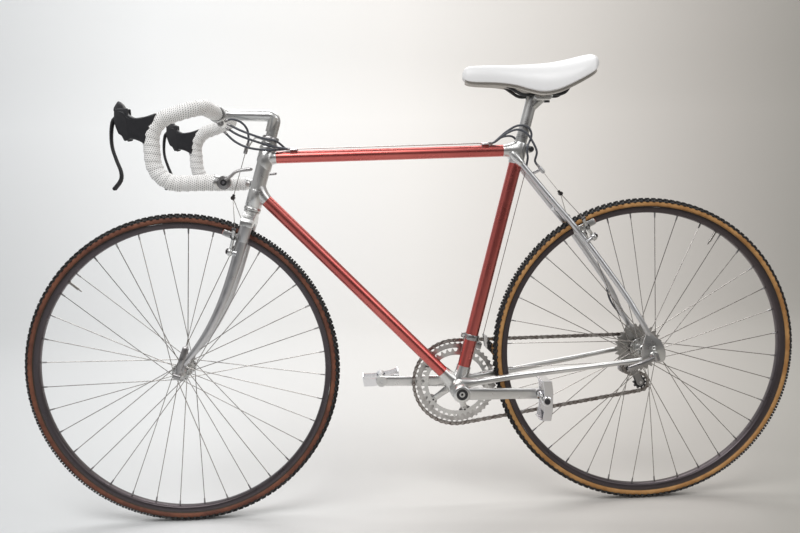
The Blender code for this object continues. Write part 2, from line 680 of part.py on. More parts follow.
def make_brake_arm(name, side, at, up, out, axle):
    """A pivot ring, an arm out to the straddle wire and a post that carries the pad."""
    depth = 0.0085
    ring = pipe(name, at + out * ARM_OUT, at + out * (ARM_OUT + depth), 0.0085, STUD_RADIUS + GAP * 2,
                SILVER, SLENDER)
    outline = [(0.0040, 0.0045), (-0.0060, 0.0055), (-0.0010, 0.0290), (0.0180, ARM_HEIGHT),
               (0.0245, ARM_HEIGHT + 0.002), (0.0275, ARM_HEIGHT - 0.005), (0.0230, ARM_HEIGHT - 0.009),
               (0.0105, 0.0270), (0.0085, 0.0120)]
    arm = plate("arm", outline, at, Y * side, up, out, ARM_OUT + 0.0015, ARM_OUT + depth - 0.0015,
                SILVER)
    pad_face = RIM_WIDTH / 2 + PAD_GAP
    middle = Vector((at.x, 0, at.z)) + out * (ARM_OUT + depth / 2)
    middle += up * pad_height(middle, up, axle)
    radial = (middle - axle).normalized()
    tangent = Vector((radial.z, 0, -radial.x)) * (1.0 if axle is REAR else -1.0)
    outline = [(pad_face, -PAD_HEIGHT / 2), (pad_face + PAD_DEPTH * 0.6, -PAD_HEIGHT / 2),
               (pad_face + PAD_DEPTH, 0.0), (pad_face + PAD_DEPTH * 0.6, PAD_HEIGHT / 2),
               (pad_face, PAD_HEIGHT / 2)]
    pad = plate("pad", outline, middle, Y * side, radial, tangent, -PAD_LENGTH * 0.45, PAD_LENGTH * 0.55,
                SILVER)
    post = rod("post", middle + Y * side * (pad_face + 0.004), middle + Y * side * (STUD_SPREAD + 0.014),
               0.0030, SILVER, 6)
    return join(ring, arm, pad, post)


# Fork
CROWN_TOP = FORK_LENGTH - CUP_HEIGHT - GAP - 0.003
CROWN_BOTTOM = FORK_LENGTH - CUP_HEIGHT - CROWN_HEIGHT
STEERER_TOP = HEAD_TOP + 0.027
CROWN_HALF_DEPTH = BLADE_FORE_RADIUS + 0.0008


def make_fork_crown():
    """The crown with its race and steerer, which the stem's quill goes down."""
    half = BLADE_TOP_SPREAD + BLADE_SIDE_RADIUS + 0.001
    inside = BLADE_TOP_SPREAD - BLADE_SIDE_RADIUS - 0.001
    outline = [(-half, CROWN_BOTTOM), (-half, CROWN_BOTTOM + 0.012), (-half * 0.7, CROWN_TOP - 0.004),
               (-half * 0.42, CROWN_TOP), (half * 0.42, CROWN_TOP), (half * 0.7, CROWN_TOP - 0.004),
               (half, CROWN_BOTTOM + 0.012), (half, CROWN_BOTTOM), (inside, CROWN_BOTTOM),
               (inside * 0.8, CROWN_BOTTOM + 0.007), (-inside * 0.8, CROWN_BOTTOM + 0.007),
               (-inside, CROWN_BOTTOM)]
    crown = plate("fork_crown", outline, STEER_FOOT, Y, STEER_UP, STEER_FORE, -CROWN_HALF_DEPTH,
                  CROWN_HALF_DEPTH, SILVER)
    crown = soften(crown, 0.003)
    post = turned("post", STEER_FOOT, STEER_UP,
                  [(STEERER_RADIUS, CROWN_BOTTOM + 0.010), (STEERER_RADIUS, CROWN_TOP - 0.001),
                   (CUP_RADIUS - 0.0012, CROWN_TOP - 0.001), (CUP_RADIUS - 0.0012, CROWN_TOP + 0.003),
                   (STEERER_RADIUS, CROWN_TOP + 0.003), (STEERER_RADIUS, STEERER_TOP)], SILVER)
    bore = rod("bore", steer(CROWN_TOP), steer(STEERER_TOP + 0.02), STEERER_RADIUS - STEERER_WALL,
               SILVER)
    return cut(join(crown, post), bore)


def make_fork_blade(label, side):
    top = CROWN_BOTTOM - GAP
    shares = (1.0, 0.807, 0.621, 0.466, 0.357, 0.264, 0.186, 0.124, 0.068, 0.025)
    stations = [top * share for share in shares]
    path = [blade_point(along, side) for along in stations]
    share = [(stations[0] - along) / stations[0] for along in stations]
    fore = [BLADE_FORE_RADIUS + (BLADE_TIP_RADIUS - BLADE_FORE_RADIUS) * t ** 1.3 for t in share]
    side_radius = [BLADE_SIDE_RADIUS + (BLADE_TIP_RADIUS * 0.8 - BLADE_SIDE_RADIUS) * t for t in share]
    flat = [b / a for a, b in zip(fore, side_radius)]
    frames = frames_along(path, STEER_FORE)
    frames[0] = (path[0], STEER_FORE, Y)
    blade = sweep(f"fork_blade_{label}", frames, fore, SILVER, SLENDER, flat)
    low, high = sorted((FRONT_TIP_FACE * side, (FRONT_TIP_FACE + DROPOUT_THICKNESS) * side))
    outline = [(0.0120, 0.0060), (0.0160, 0.0260), (0.0060, 0.0260), (-0.0080, 0.0120), (-0.0125, 0.0000),
               (-0.0110, -0.0100), *reversed(slot_outline(0, 0, -0.0120)), (0.0105, -0.0090)]
    tip = plate("tip", outline, FRONT, X, Z, Y, low, high, SILVER)
    return join(blade, tip, stud(side, *front_brake_frame(side), "front_stud"))


# Stem, headset and bars
HANGER_FORE = 0.0445
HANGER_HIGH = HEAD_TOP + 0.0002
HANGER_LOW = HANGER_HIGH - 0.0180


def make_headset_race():
    """The top race and locknut, with the bracket that holds the front brake's housing."""
    low = HEAD_TOP + CUP_HEIGHT + GAP
    high = HEAD_TOP + 0.0325
    bore = STEERER_RADIUS + FIT
    race = turned("headset_race", STEER_FOOT, STEER_UP,
                  [(0.0165, low), (0.0176, low + 0.004), (0.0176, low + 0.008), (0.0155, low + 0.009),
                   (0.0155, high - 0.006), (0.0170, high - 0.005), (0.0160, high), (bore, high),
                   (bore, low)], SILVER, hollow=True)
    plate_low = low + 0.0100
    bracket = plate("bracket", [(0.0140, -0.009), (0.0140, 0.009), (0.0330, 0.0045), (0.0330, -0.0045)],
                    steer(0), STEER_FORE, Y, STEER_UP, plate_low, plate_low + 0.0025, SILVER)
    path = [steer(plate_low + 0.001, 0.0300), steer((HANGER_LOW + HANGER_HIGH) / 2, HANGER_FORE - 0.003)]
    web = sweep("web", frames_along(path, Y), 0.0028, SILVER, 6)
    barrel = rod("barrel", steer(HANGER_LOW, HANGER_FORE), steer(HANGER_HIGH, HANGER_FORE), 0.0042,
                 SILVER, SLENDER)
    hole = rod("hole", steer(HANGER_LOW - 0.01, HANGER_FORE), steer(HANGER_HIGH + 0.01, HANGER_FORE),
               WIRE_RADIUS + RUNNING, SILVER, 4)
    return cut(join(race, bracket, web, barrel), hole)


CLAMP_RADIUS = 0.0182
CLAMP_HALF = 0.0195
QUILL_DEPTH = HEAD_TOP - 0.0578


def make_stem():
    reach = BAR - steer(STEM_CORNER)
    end = BAR - reach.normalized() * (CLAMP_RADIUS - 0.004)
    path = rounded([(steer(QUILL_DEPTH), 0), (steer(STEM_CORNER), 0.014), (end, 0)], 4)
    radii = [QUILL_RADIUS] * 3 + [STEM_RADIUS, STEM_RADIUS, STEM_RADIUS, STEM_RADIUS * 0.95]
    body = sweep("stem", frames_along(path, Y), radii, SILVER)
    clamp = rod("clamp", BAR - Y * CLAMP_HALF, BAR + Y * CLAMP_HALF, CLAMP_RADIUS, SILVER)
    binder = rod("binder", BAR + Vector((0.006, -0.0175, -0.0190)), BAR + Vector((0.006, 0.0175, -0.0190)),
                 0.0058, SILVER, SLENDER)
    bore = rod("bore", BAR - Y * 0.05, BAR + Y * 0.05, BAR_RADIUS + BAR_BULGE + FIT, SILVER)
    slot = plate("slot", [(-0.0012, 0), (0.0012, 0), (0.0075, -0.030), (0.0045, -0.030)],
                 BAR, X, Z, Y, -0.03, 0.03, SILVER)
    return cut(join(body, clamp, binder), bore, slot)


def bar_half(side):
    """Half the bar's centre line from its middle, with the frames its skins share."""
    end_half = BAR_HALF_WIDTH + BAR_FLARE
    corners = [(BAR, 0), (BAR + Y * side * TAPE_START, 0),
               (BAR + Y * side * BAR_HALF_WIDTH, BAR_BEND),
               (BAR + Vector((-BAR_REACH, side * (BAR_HALF_WIDTH + BAR_FLARE * 0.7), -BAR_RAMP_FALL)), 0.048),
               (BAR + Vector((-BAR_REACH + 0.004, side * end_half, -BAR_DROP)), 0.048),
               (BAR + Vector((BAR_END_SETBACK, side * end_half, -BAR_DROP)), 0)]
    path = [BAR] + rounded(corners[1:], 3)
    return frames_along(path, Z)


def make_bar():
    left, right = bar_half(-1.0), bar_half(1.0)
    flipped = [(p, a, -b) for p, a, b in reversed(left[1:])]
    frames = flipped + [(p, a, b) for p, a, b in right]
    radii = [BAR_RADIUS + (BAR_BULGE if abs(p.y) < TAPE_START - GAP else 0.0) for p, _, _ in frames]
    sweep("handlebar", frames, radii, SILVER, SLENDER)
    for label, side in SIDES:
        half = bar_half(side)[1:]
        sweep(f"bar_tape_{label}", half, BAR_RADIUS + GAP * 3 + TAPE_THICKNESS, TAPE, SLENDER,
              bore=BAR_RADIUS + GAP * 3)


# Brake hoods and levers, measured forwards and up from the bar's clamp
LEVER_PIVOT = (0.1480, -0.0200)
LEVER_SIDE = BAR_HALF_WIDTH + BAR_FLARE * 0.72
HOOD_HALF = 0.0145
HOOD_SLOT = 0.0082
LEVER_HALF = 0.0068


def bar_plane(forward, up, side_at):
    return BAR + Vector((-forward, side_at, up))


def make_hood(label, side):
    outline = [(0.0770, -0.0120), (0.1050, -0.0100), (0.1250, -0.0050), (0.1330, 0.0080), (0.1400, 0.0115),
               (0.1480, 0.0070), (0.1575, -0.0080), (0.1560, -0.0200), (0.1440, -0.0560),
               (0.1270, -0.0640), (0.1070, -0.0730), (0.0960, -0.0600), (0.0800, -0.0300)]
    middle = BAR + Y * side * LEVER_SIDE
    hood = plate(f"brake_hood_{label}", outline, middle, -X, Z, Y, -HOOD_HALF, HOOD_HALF, BLACK)
    soften(hood, 0.0045)
    ridge = sweep("ridge", bar_half(side)[1:], BAR_RADIUS + TAPE_THICKNESS + GAP * 5, BLACK, SLENDER)
    slot = plate("slot", [(0.1370, -0.0100), (0.1700, 0.0020), (0.1800, -0.0900), (0.1340, -0.0900),
                          (0.1360, -0.0300)], middle, -X, Z, Y, -HOOD_SLOT, HOOD_SLOT, BLACK)
    return cut(hood, ridge, slot)


def make_brake_lever(label, side):
    at = BAR + Y * side * LEVER_SIDE
    pivot = Vector((-LEVER_PIVOT[0], 0, LEVER_PIVOT[1])) + at
    knuckle = rod(f"brake_lever_{label}", pivot - Y * (HOOD_SLOT - GAP), pivot + Y * (HOOD_SLOT - GAP),
                  0.0085, BLACK)
    line = [(0.1500, -0.0160), (0.1610, -0.0240), (0.1660, -0.0450), (0.1665, -0.0720), (0.1605, -0.0965),
            (0.1530, -0.1200), (0.1545, -0.1360), (0.1665, -0.1510)]
    path = [at + Vector((-u, 0, w)) for u, w in line]
    width = [LEVER_HALF * s for s in (0.9, 1.0, 1.0, 1.0, 0.98, 0.95, 0.9, 0.8)]
    flat = [0.55, 0.6, 0.55, 0.48, 0.42, 0.40, 0.42, 0.45]
    blade = sweep("blade", frames_along(path, Y), width, BLACK, 6, flat)
    return join(knuckle, blade)


POD = (-0.0400, -0.1465)
POD_RADIUS = 0.0125
POD_HALF = 0.0100
SHIFTER_SIDE = BAR_HALF_WIDTH + BAR_FLARE


def make_shifter(label, side):
    """The pod that plugs the bar's end, and its lever on the outer face."""
    centre = BAR + Vector((-POD[0], side * SHIFTER_SIDE, POD[1]))
    bar_end = BAR + Vector((BAR_END_SETBACK, side * SHIFTER_SIDE, -BAR_DROP))
    pod = rod(f"shifter_pod_{label}", centre - Y * POD_HALF, centre + Y * POD_HALF, POD_RADIUS, SILVER)
    plug_end = Vector((centre.x, centre.y, bar_end.z))
    plug = rod("plug", bar_end + X * GAP, plug_end, BAR_RADIUS * 0.8, SILVER, SLENDER)
    join(pod, plug)
    face = centre + Y * side * (POD_HALF + GAP)
    hub = rod(f"shift_lever_{label}", face, face + Y * side * 0.0065, POD_RADIUS * 0.96, GREY)
    line = [Vector((0.002, 0, 0.002)), Vector((0.0130, 0, 0.0110)), Vector((0.0240, 0, 0.0195)),
            Vector((0.0380, 0, 0.0225)), Vector((0.0550, 0, 0.0240))]
    path = [face + Y * side * 0.0050 + p for p in line]
    handle = sweep("handle", frames_along(path, Y), [0.0045, 0.0045, 0.0042, 0.0044, 0.0040], GREY, 8,
                   [0.7, 0.62, 0.62, 0.72, 0.62])
    join(hub, handle)


# Wheels
def polar(centre, radius, angle, side):
    return centre + Vector((radius * cos(angle), side, radius * sin(angle)))


def make_tyre(name, centre):
    """A tyre whose shoulders and crown step up and down as rows of knobs."""
    fine = KNOB_PITCHES * 2
    ratio = fine // RIM_SEGMENTS
    half = TYRE_WIDTH / 2
    wall = TYRE_RADIUS - TYRE_SEAT_RADIUS
    tracks = [(RIM_SEGMENTS, TYRE_SEAT_RADIUS, 0.0, -RIM_WIDTH / 2, 0.0),
              (RIM_SEGMENTS, TYRE_SEAT_RADIUS + wall * 0.55, 0.0, -half, 0.0),
              (fine, TYRE_RADIUS - TREAD_DEPTH, TREAD_DEPTH, -half * 0.45, 0.0)]
    tracks += [(n, r, step, -y, 0.5) for n, r, step, y, _ in reversed(tracks)]
    points, starts = [], []
    for count, radius, step, y, phase in tracks:
        starts.append(len(points))
        for k in range(count):
            lift = step * (k % 2 if phase == 0.0 else 1 - k % 2)
            angle = 2 * pi * k / count - pi / 2
            points.append(polar(centre, radius + lift, angle, y))
    faces = []
    for i, (count, *_) in enumerate(tracks):
        j = (i + 1) % len(tracks)
        other, a, b = tracks[j][0], starts[i], starts[j]
        if count == other:
            faces += [(a + k, a + (k + 1) % count, b + (k + 1) % count, b + k) for k in range(count)]
            continue
        coarse, dense = (a, b) if count < other else (b, a)
        for k in range(RIM_SEGMENTS):
            run = [dense + (k * ratio + m) % fine for m in range(ratio + 1)]
            faces.append((coarse + k, coarse + (k + 1) % RIM_SEGMENTS, *reversed(run)))
    return solid(name, points, faces, RUBBER)


def make_rim(name, centre):
    half = RIM_WIDTH / 2
    outer, inner = TYRE_SEAT_RADIUS - GAP, RIM_INNER_RADIUS
    section = [(outer, -half), (outer, half), (outer - RIM_DEPTH * 0.72, half), (inner, half * 0.62),
               (inner, -half * 0.62), (outer - RIM_DEPTH * 0.72, -half)]
    rings = [[polar(centre, r, 2 * pi * k / RIM_SEGMENTS - pi / 2, y) for k in range(RIM_SEGMENTS)]
             for r, y in section]
    return skin(name, rings, DARK_RIM, closed=True)


def make_spokes(centre, flanges, flange_radius):
    """Tangential lacing: neighbours on a flange leave it on opposite faces and cross."""
    spokes = []
    reach = RIM_INNER_RADIUS * cos(pi / RIM_SEGMENTS) - GAP
    offset = FLANGE_THICKNESS / 2 - SPOKE_RADIUS * 1.1
    for k in range(SPOKES):
        flange = flanges[k % 2]
        outside = 1.0 if (k // 2) % 2 else -1.0
        outward = 1.0 if flange > 0 else -1.0
        end_angle = 2 * pi * (k + 0.5) / SPOKES
        start_angle = end_angle + outside * radians(SPOKE_CROSS_DEG)
        start = polar(centre, flange_radius - 0.0035, start_angle, flange + outside * outward * offset)
        end = polar(centre, reach, end_angle, 0.002 * outward)
        spokes.append((start, end))
    return spokes


HUB_END_RADIUS = 0.0090
FLANGE_CONE = 0.0070


def make_hub(name, centre, flanges, flange_radius, locknut_face, barrel_radius):
    half = FLANGE_THICKNESS / 2
    left, right = flanges
    body = [(HUB_END_RADIUS, -locknut_face), (HUB_END_RADIUS, left - FLANGE_CONE),
            (flange_radius, left - half), (flange_radius, left + half),
            (barrel_radius, left + FLANGE_CONE), (barrel_radius, right - FLANGE_CONE),
            (flange_radius, right - half), (flange_radius, right + half),
            (HUB_END_RADIUS, right + FLANGE_CONE), (HUB_END_RADIUS, locknut_face)]
    hub = turned(name, centre, Y, body, SILVER)
    points, faces = [], []
    for start, end in make_spokes(centre, flanges, flange_radius):
        along = (end - start).normalized()
        a, b = across(along)
        base = len(points)
        points += circle(start, a, b, SPOKE_RADIUS, SPOKE_RADIUS, 3)
        points += circle(end, a, b, SPOKE_RADIUS, SPOKE_RADIUS, 3)
        faces += [(base + k, base + (k + 1) % 3, base + 3 + (k + 1) % 3, base + 3 + k) for k in range(3)]
        faces += [(base + 2, base + 1, base), (base + 3, base + 4, base + 5)]
    lacing = solid("lacing", points, faces, SILVER)
    join(hub, lacing)
    bore = rod("bore", centre - Y * 0.1, centre + Y * 0.1, AXLE_RADIUS + FIT, SILVER)
    return cut(hub, bore)


CAM_LENGTH = 0.0080


def make_skewer(name, centre, tip_face):
    """The axle with its nut on the right and the cam's seat on the left."""
    outer = tip_face + DROPOUT_THICKNESS + GAP
    return turned(name, centre, Y,
                  [(0.0088, -outer - CAM_LENGTH), (0.0105, -outer - CAM_LENGTH * 0.6), (0.0105, -outer),
                   (AXLE_RADIUS, -outer), (AXLE_RADIUS, outer), (0.0100, outer), (0.0100, outer + 0.006),
                   (0.0070, outer + 0.012)], CHROME, 10)


CAM_KNUCKLE = 0.0063


def cam_pivot(centre, tip_face):
    return centre - Y * (tip_face + DROPOUT_THICKNESS + CAM_LENGTH + CAM_KNUCKLE + GAP * 2.5)


def make_quick_release(name, centre, tip_face, aim):
    """A cam lever, closed along its dropout, that swings outwards on its own knuckle."""
    at = cam_pivot(centre, tip_face)
    spin = aim.cross(Y).normalized()
    knuckle = rod(name, at - spin * 0.0075, at + spin * 0.0075, CAM_KNUCKLE, GREY, SLENDER)
    path = [at, at + aim * 0.014 - Y * 0.001, at + aim * 0.034 - Y * 0.0035, at + aim * 0.056,
            at + aim * 0.066 + Y * 0.002]
    handle = sweep("handle", frames_along(path, Y), [0.0035, 0.0035, 0.0034, 0.0032, 0.0026], GREY, 6,
                   [1.3, 1.5, 1.9, 2.1, 1.8])
    return join(knuckle, handle)


# Drivetrain
def pitch_radius(teeth):
    return CHAIN_PITCH / (2 * sin(pi / teeth))


def toothed(teeth, tip, root):
    """A closed outline of (x, z) pairs with one point and one valley for each tooth."""
    outline = []
    for k in range(teeth):
        for radius, share in ((root, -0.5), (tip, 0.0)):
            angle = 2 * pi * (k + share) / teeth
            outline.append((radius * cos(angle), radius * sin(angle)))
    return outline


CHAIN_HALF_HEIGHT = 0.0042
CHAIN_WAIST = 0.0030
GUIDE_AHEAD = 0.0070
GUIDE_DROP = 0.0480
TENSION_BEHIND = 0.0110
TENSION_DROP = 0.0870
GUIDE = REAR + Vector((-GUIDE_AHEAD, 0, -GUIDE_DROP))
TENSION = REAR + Vector((TENSION_BEHIND, 0, -TENSION_DROP))
RING_RADIUS = pitch_radius(RING_TEETH)
COG_RADIUS = pitch_radius(COG_TEETH[0])
PULLEY_RADIUS = pitch_radius(PULLEY_TEETH)
CRANK_DIRECTION = Vector((cos(radians(CRANK_TILT_DEG)), 0, -sin(radians(CRANK_TILT_DEG))))


def chain_line():
    """Straight runs and arcs round the ring, cog and pulleys, as (point, outward) pairs."""
    rounds = [(BOTTOM, RING_RADIUS, RING_LINE, 1.0), (REAR, COG_RADIUS, COG_LINE, 1.0),
              (GUIDE, PULLEY_RADIUS, COG_LINE, -1.0), (TENSION, PULLEY_RADIUS, COG_LINE, 1.0)]
    legs = []
    for (a, ra, ya, sa), (b, rb, yb, sb) in zip(rounds, rounds[1:] + rounds[:1]):
        gap = b - a
        heading = atan2(gap.z, gap.x) - asin((sa * ra - sb * rb) / hypot(gap.x, gap.z))
        left = Vector((-sin(heading), 0, cos(heading)))
        legs.append((a + left * sa * ra + Y * ya, b + left * sb * rb + Y * yb))
    dense = []
    for i, (centre, radius, line, sense) in enumerate(rounds):
        arrive, leave = legs[i - 1][1] - centre, legs[i][0] - centre
        begin, end = atan2(arrive.z, arrive.x), atan2(leave.z, leave.x)
        turn = (begin - end) % (2 * pi) if sense > 0 else -((end - begin) % (2 * pi))
        count = max(4, ceil(abs(turn) * radius / 0.002))
        for k in range(count):
            angle = begin - turn * k / count
            dense.append(centre + Vector((radius * cos(angle), line, radius * sin(angle))))
        start, stop = legs[i]
        count = max(2, ceil((stop - start).length / 0.004))
        dense += [start.lerp(stop, k / count) for k in range(count)]
    return dense


def evenly(points, count):
    """Points at equal steps along a closed line."""
    loop = points + points[:1]
    lengths = [0.0]
    for a, b in zip(loop, loop[1:]):
        lengths.append(lengths[-1] + (b - a).length)
    spaced, i = [], 0
    for k in range(count):
        want = lengths[-1] * k / count
        while lengths[i + 1] < want:
            i += 1
        span = lengths[i + 1] - lengths[i]
        spaced.append(loop[i].lerp(loop[i + 1], (want - lengths[i]) / span if span else 0.0))
    return spaced


def make_chain():
    """Links along the chain line, wide and high at each pin and waisted between."""
    dense = chain_line()
    total = sum((b - a).length for a, b in zip(dense, dense[1:] + dense[:1]))
    links = 2 * round(total / CHAIN_PITCH / 2)
    line = evenly(dense, links * 2)
    rings = []
    for k, point in enumerate(line):
        ahead = (line[(k + 1) % len(line)] - line[k - 1]).normalized()
        out = ahead.cross(Y).normalized()
        pin = k % 2 == 0
        high = CHAIN_HALF_HEIGHT if pin else CHAIN_WAIST
        wide = (0.0035 if k % 4 == 0 else 0.0029) if pin else 0.0032
        rings.append([point + out * high + Y * wide, point + out * high - Y * wide,
                      point - out * high - Y * wide, point - out * high + Y * wide])
    return skin("chain", rings, STEEL, closed=True)


TOOTH_UNDER_CHAIN = CHAIN_HALF_HEIGHT + GAP * 2
SPIDER_FACE = RING_LINE - RING_THICKNESS / 2 - GAP
BOSS_RADIUS = 0.0195


def make_outer_ring():
    """A chainring with five tabs that reach in to the spider's bolts."""
    tip = RING_RADIUS - TOOTH_UNDER_CHAIN
    ring = plate("chainring_outer", toothed(RING_TEETH, tip, tip - 0.0030), BOTTOM, X, Z, Y,
                 RING_LINE - RING_THICKNESS / 2, RING_LINE + RING_THICKNESS / 2, SILVER)
    hole = []
    for arm in range(SPIDER_ARMS):
        middle = spider_angle(arm)
        for share, radius in ((-30, 0.0800), (-16, 0.0795), (-11, 0.0640), (-6, 0.0580), (6, 0.0580),
                              (11, 0.0640), (16, 0.0795), (30, 0.0800)):
            angle = middle + radians(share)
            hole.append((radius * cos(angle), radius * sin(angle)))
    opening = plate("opening", hole, BOTTOM, X, Z, Y, 0.02, 0.07, SILVER)
    return cut(ring, opening)


def spider_angle(arm):
    return pi - radians(CRANK_TILT_DEG) + 2 * pi * (arm + 0.5) / SPIDER_ARMS


def make_right_crank():
    """The right arm, its five-armed spider and the inner ring bolted to the spider."""
    inner_line = SPIDER_FACE - 0.0042
    inner = pitch_radius(INNER_RING_TEETH)
    ring = plate("crank_right", toothed(INNER_RING_TEETH, inner + 0.0025, inner - 0.0038), BOTTOM, X, Z, Y,
                 inner_line - RING_THICKNESS, inner_line, SILVER)
    hole = rod("hole", BOTTOM, BOTTOM + Y * 0.08, inner - 0.0120, SILVER, 20)
    cut(ring, hole)
    boss = turned("boss", BOTTOM, Y, [(BOSS_RADIUS * 0.9, inner_line - 0.0030), (BOSS_RADIUS, SPIDER_FACE),
                                     (BOSS_RADIUS, CRANK_OUTSET + 0.004),
                                     (BOSS_RADIUS * 0.85, CRANK_OUTSET + 0.0075)], SILVER)
    pieces = [boss]
    for arm in range(SPIDER_ARMS):
        angle = spider_angle(arm)
        radial = Vector((cos(angle), 0, sin(angle)))
        tangent = Vector((-sin(angle), 0, cos(angle)))
        pieces.append(plate("arm", [(0.010, -0.0105), (0.045, -0.0070), (0.0710, -0.0060),
                                    (0.0710, 0.0060), (0.045, 0.0070), (0.010, 0.0105)],
                            BOTTOM, radial, tangent, Y, inner_line - 0.0005, SPIDER_FACE, SILVER))
    arm, eye = crank_arm(-CRANK_DIRECTION, 1.0)
    pieces += [arm, eye]
    join(ring, *pieces)
    socket = rod("socket", BOTTOM, BOTTOM + Y * (CRANK_OUTSET - 0.005), SPINDLE_RADIUS + GAP * 2, SILVER)
    return cut(ring, socket)


def crank_arm(direction, side):
    outset = Y * side * CRANK_OUTSET
    path = [BOTTOM + outset, BOTTOM + outset + direction * 0.05,
            BOTTOM + outset + direction * (CRANK_LENGTH * 0.75), BOTTOM + outset + direction * CRANK_LENGTH]
    arm = sweep("arm", frames_along(path, Z), [0.0150, 0.0128, 0.0115, 0.0115], SILVER, SLENDER,
                [0.44, 0.48, 0.52, 0.52])
    end = BOTTOM + direction * CRANK_LENGTH
    eye = turned("eye", end, Y * side, [(0.0125, CRANK_OUTSET - 0.0070), (0.0125, CRANK_OUTSET + 0.0070),
                                       (0.0075, CRANK_OUTSET + 0.0070), (0.0075, CRANK_OUTSET + 0.0105),
                                       (0.0045, CRANK_OUTSET + 0.0105),
                                       (0.0045, CRANK_OUTSET + 0.0130 + PEDAL_WIDTH)], SILVER, SLENDER)
    return arm, eye


def make_left_crank():
    """The left arm with the spindle that runs through to the right boss."""
    spindle_end = CRANK_OUTSET - 0.006
    boss = turned("crank_left", BOTTOM, -Y,
                  [(SPINDLE_RADIUS, -spindle_end), (SPINDLE_RADIUS, 0.0370), (BOSS_RADIUS * 0.9, 0.0390),
                   (BOSS_RADIUS, 0.0460), (BOSS_RADIUS, CRANK_OUTSET + 0.004),
                   (BOSS_RADIUS * 0.8, CRANK_OUTSET + 0.0075)], SILVER)
    arm, eye = crank_arm(CRANK_DIRECTION, -1.0)
    return join(boss, arm, eye)


def make_pedal(label, side, direction, lean):
    """A barrel on the crank's axle between two end plates and two toothed cage bars."""
    axle = BOTTOM + direction * CRANK_LENGTH
    start = CRANK_OUTSET + 0.0125
    fore = Vector((cos(lean), 0, sin(lean)))
    rise = Vector((-sin(lean), 0, cos(lean)))
    barrel = rod(f"pedal_{label}", axle + Y * side * start, axle + Y * side * (start + PEDAL_WIDTH + 0.003),
                 0.0105, CHROME, SLENDER)
    half = PEDAL_LENGTH / 2
    end_outline = [(-half, -0.0095), (-half * 0.5, -0.0125), (half * 0.5, -0.0125), (half, -0.0095),
                   (half, 0.0095), (-half, 0.0095)]
    pieces = []
    for low in (start + 0.0010, start + PEDAL_WIDTH - 0.0020):
        pieces.append(plate("end", end_outline, axle, fore, rise, Y * side, low, low + 0.0022, CHROME))
    teeth = 5
    bar = [(0.0005, -0.0085), (PEDAL_WIDTH - 0.0005, -0.0085)]
    for k in range(teeth, -1, -1):
        bar.append((0.0005 + (PEDAL_WIDTH - 0.001) * k / teeth, 0.0086))
        if k:
            bar.append((0.0005 + (PEDAL_WIDTH - 0.001) * (k - 0.5) / teeth, 0.0130))
    for end in (-1.0, 1.0):
        foot = axle + fore * (half - 0.001) * end + Y * side * (start + 0.0012)
        pieces.append(plate("bar", bar, foot, Y * side, rise, fore * end, -0.0009, 0.0016, CHROME))
    join(barrel, *pieces)
    bore = rod("bore", axle, axle + Y * side * 0.3, 0.0045 + FIT * 2, CHROME, SLENDER)
    return cut(barrel, bore)


def make_cassette():
    """Sprockets on one core, the smallest outermost."""
    inner_side = COG_LINE - COG_PITCH * (len(COG_TEETH) - 1)
    core = turned("cassette", REAR, Y, [(0.0195, inner_side - 0.0020), (0.0195, COG_LINE - 0.001),
                                       (0.0165, COG_LINE + 0.0035)], GREY)
    sprockets = []
    for k, teeth in enumerate(COG_TEETH):
        line = COG_LINE - COG_PITCH * k
        pitch = pitch_radius(teeth)
        tip = pitch - TOOTH_UNDER_CHAIN if k == 0 else pitch + 0.0022
        sprockets.append(plate("cog", toothed(teeth, tip, tip - 0.0048 if k else tip - 0.0020), REAR, X, Z, Y,
                               line - COG_THICKNESS / 2, line + COG_THICKNESS / 2, GREY))
    join(core, *sprockets)
    bore = rod("bore", REAR, REAR + Y * 0.1, HUB_END_RADIUS + RUNNING, GREY)
    return cut(core, bore)


FD_HEIGHT = RING_RADIUS + 0.0194
FD_BLOCK_TOP = -0.0100
CAGE_DEPTH = 0.0175


